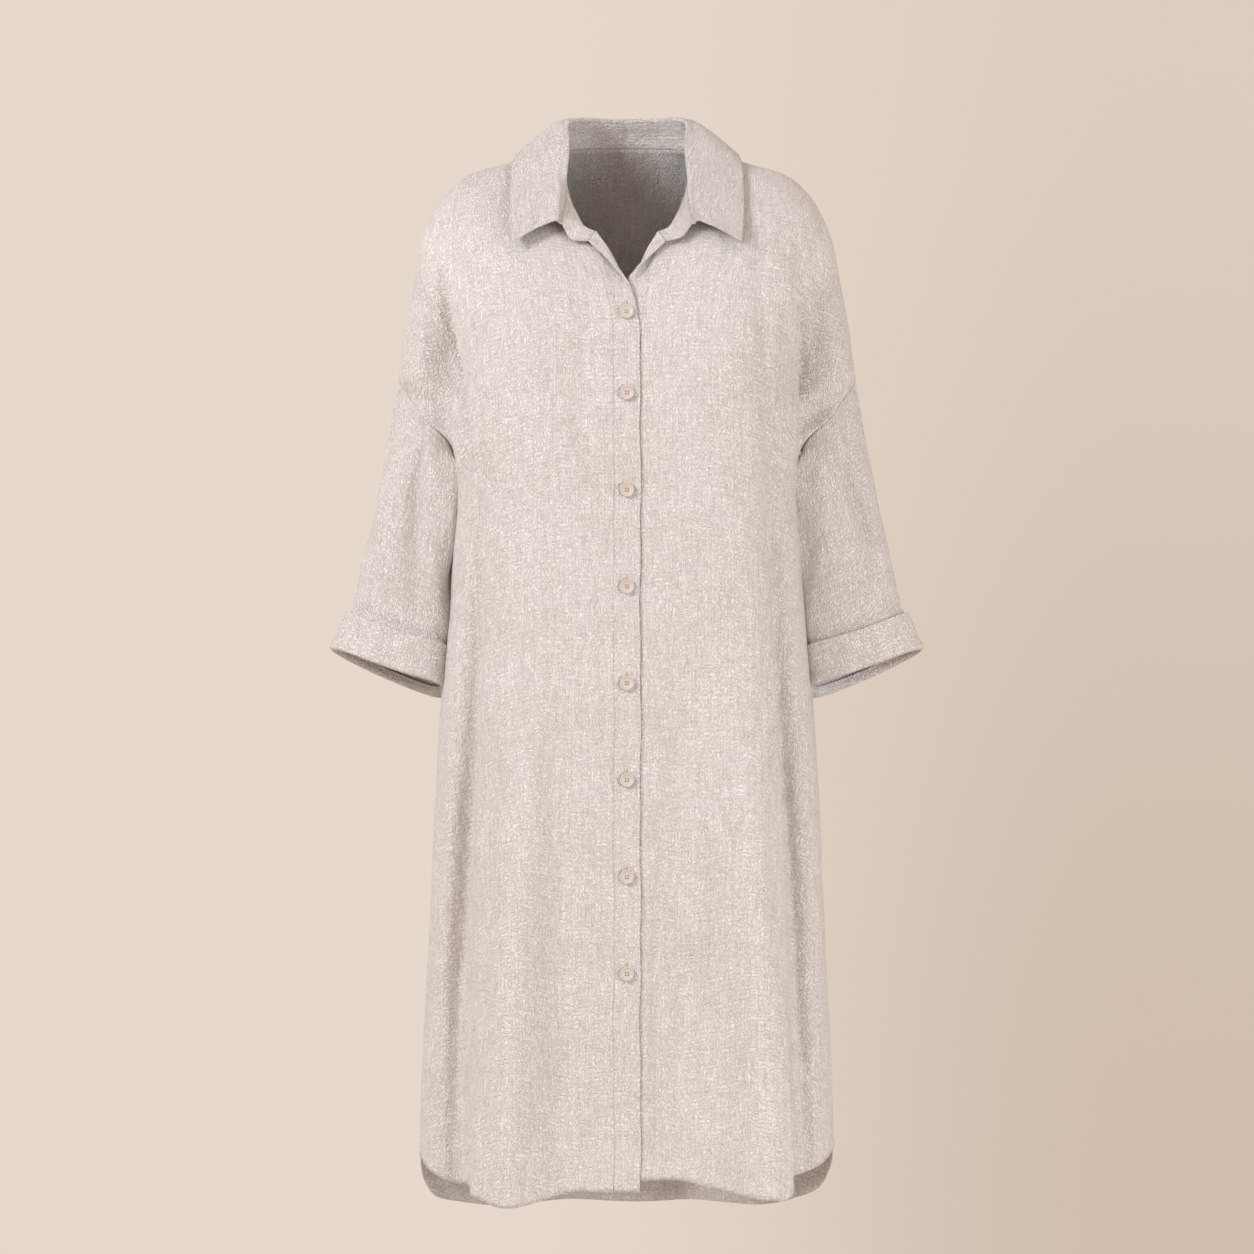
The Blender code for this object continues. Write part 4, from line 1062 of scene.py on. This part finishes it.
table = np.array(SLEEVE, float)
cuff_bottom = CUFF_BOTTOM._replace(lift=CUFF_BOTTOM.lift + CUFF_TILT)
for side, word in ((-1, "right"), (1, "left")):
    up_back, down_front = armhole(side)
    loop = np.concatenate([up_back, down_front])
    back_along = lengths(np.concatenate([up_back, down_front[:1]]))
    front_along = lengths(down_front)
    turn = np.concatenate([-np.pi * (1 - back_along[:-1] / back_along[-1]),
                           np.pi * front_along / front_along[-1]])
    even = np.linspace(-np.pi, np.pi, SLEEVE_POINTS)
    loop = read(loop, turn, even)
    corner = np.exp(-(((even - SLEEVE_CORNER) / CORNER_WIDE) ** 2))[:, None]
    fuller = corner * (side * SLEEVE_FULL[0], SLEEVE_FULL[1], 0)
    start = ring_points(SLEEVE[0], even, side)
    places = lengths(table[:, :4])
    rings = []
    for place in np.linspace(0, places[-1], SLEEVE_RINGS):
        ring = Ring(*through(table, places, [place])[0])
        points = ring_points(ring, even, side)
        down = place / places[-1]
        points += (loop - start) * (1 - ease(down, 0.0, ARMHOLE_FADES))
        points -= fuller * ease(down, 0.0, CORNER_BEGINS)
        centre = points.mean(axis=0)
        for fold in SLEEVE_FOLDS:
            if fold.side == side:
                away = np.exp(-(((even - fold.turn) / fold.wide) ** 2)) * fold.out * MM
                away *= ease(down, *FOLD_BEGINS) * (1 - ease(down, *FOLD_ENDS))
                radial = (points - centre) * (1, 1, 0)
                points += radial / np.linalg.norm(radial, axis=1)[:, None] * away[:, None]
        rings.append(points)
    net = np.array(rings)
    across, down = flat_cut(net)
    degrees = np.broadcast_to(np.degrees(even), across.shape)
    out, _ = creased(degrees, down / MM, SLEEVE_CREASES[side])
    add_rumples(out, across, down, SLEEVE_RUMPLES, (51 + side, 61 + side, 71 + side))
    fade = ease(down, 0.0, 0.016) * (1 - ease(down, 0.185, 0.21) * 0.6)
    fade = fade * ease(np.pi - np.abs(np.broadcast_to(even, across.shape)), 0.0, 0.3)
    at_cuff = int(round(places[CUFF_ROW] / places[-1] * (SLEEVE_RINGS - 1)))
    above_cuff = down[at_cuff] - down - CUFF_NIP_ABOVE
    groove = -SEAM_GROOVE * np.exp(-((down / SEAM_GROOVE_WIDE) ** 2))
    groove -= CUFF_NIP * np.exp(-((above_cuff / CUFF_NIP_WIDE) ** 2))
    centres = net.mean(axis=1)[:, None, :]
    net = net + outward(net, centres) * (out * fade * MM + groove)[:, :, None]
    sleeve = cloth_piece("sleeve_" + word + "_cloth", net, NO_STITCH, across, linen_cloth, flip=side > 0)
    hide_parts("sleeve_" + word)

    lip_top = mixed(CUFF_TOP, cuff_bottom, 1 - CUFF_LIP)
    lips = [ring_points(mixed(lip_top, cuff_bottom, share), even, side, CUFF_SPACE + WALL)
            for share in (0.0, 0.8)]
    drop = ring_points(cuff_bottom, even, side, (CUFF_SPACE + WALL) / 2) + (0, 0, -CUFF_SAG)
    walls = [ring_points(mixed(cuff_bottom, CUFF_TOP, share), even, side)
             for share in (0.0, 0.35, 0.7, 1.0)]
    profile = np.array(lips + [drop] + walls) - fuller
    lines = []
    for line in profile.swapaxes(0, 1):
        along = lengths(line)
        lines.append(through(line, along, np.linspace(0, along[-1], CUFF_RINGS * 3)))
    net = np.array(lines).swapaxes(0, 1)
    across, down = flat_cut(net)
    from_top = down[-1] - down
    out = np.zeros(across.shape)
    add_rumples(out, across, down, CUFF_RUMPLES, (81 + side, 83 + side))
    out = out * ease(down, 0.012, 0.03)
    centres = net.mean(axis=1)[:, None, :]
    net = net + outward(net, centres) * (out * MM)[:, :, None]
    cuff = cloth_piece("cuff_" + word + "_cloth", net, from_top - CUFF_STITCH, across, linen_cloth,
                       CUFF_CLOTH_WALL, flip=side < 0)
    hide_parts("cuff_" + word)

# The buttonholes: upright slits in the upper band, sewn round with close stitches, and a small one
# in the end of the stand.
HOLE_LONG = 0.0190
HOLE_WIDE = 0.0030
HOLE_RISE = 0.0042
HOLE_LIFT = 0.0001
HOLE_THREAD = 0.00036
SLIT_SHORTER = 0.003
SLIT_WIDE = 0.0004
SLIT_RADIUS = 0.00022
SMALL_HOLE = (-0.0535, -0.0915, 0.0052, 0.0018)
SMALL_HOLE_LIFT = 0.0007
SMALL_SLIT_SHORTER = 0.0016
BUTTON_FIRST_Z = -0.1817
BUTTON_HEIGHTS = [BUTTON_FIRST_Z] + [BUTTON_SECOND_Z - BUTTON_SPACING * k for k in range(7)]


def surface_y(net, x, z):
    """How deep a net lies at a place, seen from the front."""
    spots = net.reshape(-1, 3)
    near = np.argsort((spots[:, 0] - x) ** 2 + (spots[:, 2] - z) ** 2)[:4]
    weight = 1 / (np.hypot(spots[near, 0] - x, spots[near, 2] - z) + 1e-5)
    return (spots[near, 1] * weight).sum() / weight.sum()


def plain(name, colour, roughness):
    material = bpy.data.materials.new(name)
    material.use_nodes = True
    shader = material.node_tree.nodes["Principled BSDF"]
    shader.inputs["Base Color"].default_value = colour
    shader.inputs["Roughness"].default_value = roughness
    return material


def thread_lines(name, lines, radius, material, closed):
    """Sewn threads: one curve object with a round section."""
    curve = bpy.data.curves.new(name, "CURVE")
    curve.dimensions = "3D"
    curve.bevel_depth = radius
    curve.bevel_resolution = 2
    for line in lines:
        spline = curve.splines.new("POLY")
        spline.points.add(len(line) - 1)
        spline.points.foreach_set("co", np.pad(line, ((0, 0), (0, 1)), constant_values=1).ravel())
        spline.use_cyclic_u = closed
    curve.materials.append(material)
    piece = bpy.data.objects.new(name, curve)
    scene.collection.objects.link(piece)
    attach(piece, "root")
    return piece


def hole_outline(x, z, long, wide, net, lift):
    """A capsule standing on end, laid on the cloth."""
    turn = np.linspace(0, 2 * np.pi, 28, endpoint=False)
    across = np.cos(turn) * wide / 2
    up = np.sin(turn) * wide / 2 + np.sign(np.sin(turn)) * (long - wide) / 2
    return np.array([(x + a, surface_y(net, x + a, z + b) - lift, z + b) for a, b in zip(across, up)])


hole_thread = plain("hole_thread", (0.70, 0.64, 0.60, 1.0), 0.8)
slit_shade = plain("slit_shade", (0.42, 0.36, 0.31, 1.0), 0.9)
upper_band = band_nets[-1]
holes = [hole_outline(0, z + HOLE_RISE, HOLE_LONG, HOLE_WIDE, upper_band, HOLE_LIFT)
         for z in BUTTON_HEIGHTS]
# Each slit is a thin dark line: painted shade where the cut opens.
slits = [hole_outline(0, z + HOLE_RISE, HOLE_LONG - SLIT_SHORTER, SLIT_WIDE, upper_band, -HOLE_LIFT)
         for z in BUTTON_HEIGHTS]
x, z, long, wide = SMALL_HOLE
holes.append(hole_outline(x, z, long, wide, stand_net, SMALL_HOLE_LIFT))
slits.append(hole_outline(x, z, long - SMALL_SLIT_SHORTER, SLIT_WIDE, stand_net, SMALL_HOLE_LIFT))
thread_lines("buttonholes", holes, HOLE_THREAD, hole_thread, True)
thread_lines("buttonhole_slit_shade", slits, SLIT_RADIUS, slit_shade, True)

# The buttons: eight turned resin buttons, 15 mm wide, with a raised rim and four holes, sewn to
# the under band with a crossed thread and passed through the upper one.
BUTTON_RADIUS = 0.0075
BUTTON_THICKNESS = 0.0026
BUTTON_LIFT = 0.0012
EYE_APART = 0.0013
EYE_RADIUS = 0.00085
CROSS_RADIUS = 0.00024
CROSS_LEVEL = 0.52
CROSS_INSET = 0.9
CROSS_SINK = 0.0004
BUTTON_PROFILE = ((0, 0.0), (0.62, 0.0), (0.92, 0.22), (1.0, 0.48), (0.985, 0.78), (0.91, 0.98),
                  (0.82, 0.97), (0.75, 0.74), (0.68, 0.54), (0.45, 0.46), (0.0, 0.44))

resin = plain("resin", (0.535, 0.470, 0.420, 1.0), 0.40)
profile = [(r * BUTTON_RADIUS, 0, h * BUTTON_THICKNESS) for r, h in BUTTON_PROFILE]
blank = bpy.data.meshes.new("button_blank")
blank.from_pydata(profile, [(k, k + 1) for k in range(len(profile) - 1)], [])
turned = bpy.data.objects.new("button_blank", blank)
scene.collection.objects.link(turned)
screw = turned.modifiers.new("turning", "SCREW")
screw.steps = screw.render_steps = 48
screw.use_merge_vertices = True
screw.merge_threshold = 0.00005
screw.use_normal_calculate = True
bpy.ops.mesh.primitive_cylinder_add(vertices=16, radius=EYE_RADIUS, depth=0.01)
drill = bpy.context.object
for k in range(4):
    place = drill if k == 3 else drill.copy()
    if k < 3:
        place.data = drill.data.copy()
        scene.collection.objects.link(place)
    place.location = (EYE_APART * (1 if k % 2 else -1), EYE_APART * (1 if k > 1 else -1), 0)
    cut = turned.modifiers.new(f"eye_{k}", "BOOLEAN")
    cut.object = place
    cut.solver = "EXACT"
drills = [modifier.object for modifier in turned.modifiers if modifier.type == "BOOLEAN"]
bpy.context.view_layer.update()
finished = turned.evaluated_get(bpy.context.evaluated_depsgraph_get())
button_mesh = bpy.data.meshes.new_from_object(finished)
button_mesh.materials.clear()
button_mesh.materials.append(resin)
button_mesh.shade_smooth()
button_mesh.set_sharp_from_angle(angle=math.radians(40))
for extra in [turned, *drills]:
    bpy.data.objects.remove(extra)

crossings = []
for number, z in enumerate(BUTTON_HEIGHTS, start=1):
    levels = z + BUTTON_RADIUS * np.array([-1.0, 0.0, 1.0])
    depths = [surface_y(upper_band, 0, level) for level in levels]
    slant = surface_y(upper_band, BUTTON_RADIUS, z) - surface_y(upper_band, -BUTTON_RADIUS, z)
    normal = Vector((slant / 2 / BUTTON_RADIUS, -1, (depths[2] - depths[0]) / 2 / BUTTON_RADIUS)).normalized()
    point = Vector((0, min(depths[1], (depths[0] + depths[2]) / 2), z)) + normal * BUTTON_LIFT
    turn = normal.to_track_quat("Z", "Y")
    piece = bpy.data.objects.new(f"button_{number}_resin", button_mesh)
    scene.collection.objects.link(piece)
    piece.location = point
    piece.rotation_mode = "QUATERNION"
    piece.rotation_quaternion = turn
    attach(piece, "root")
    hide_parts(f"button_{number}")
    top = BUTTON_THICKNESS * CROSS_LEVEL
    inner = EYE_APART * CROSS_INSET
    for lean in (-1, 1):
        ends = [(-EYE_APART, -EYE_APART * lean, -CROSS_SINK), (-inner, -inner * lean, top),
                (0, 0, top + CROSS_SINK), (inner, inner * lean, top),
                (EYE_APART, EYE_APART * lean, -CROSS_SINK)]
        crossings.append(np.array([point + turn @ Vector(end) for end in ends]))
sewing_thread = plain("sewing_thread", (0.66, 0.58, 0.51, 1.0), 0.7)
thread_lines("button_threads", crossings, CROSS_RADIUS, sewing_thread, False)
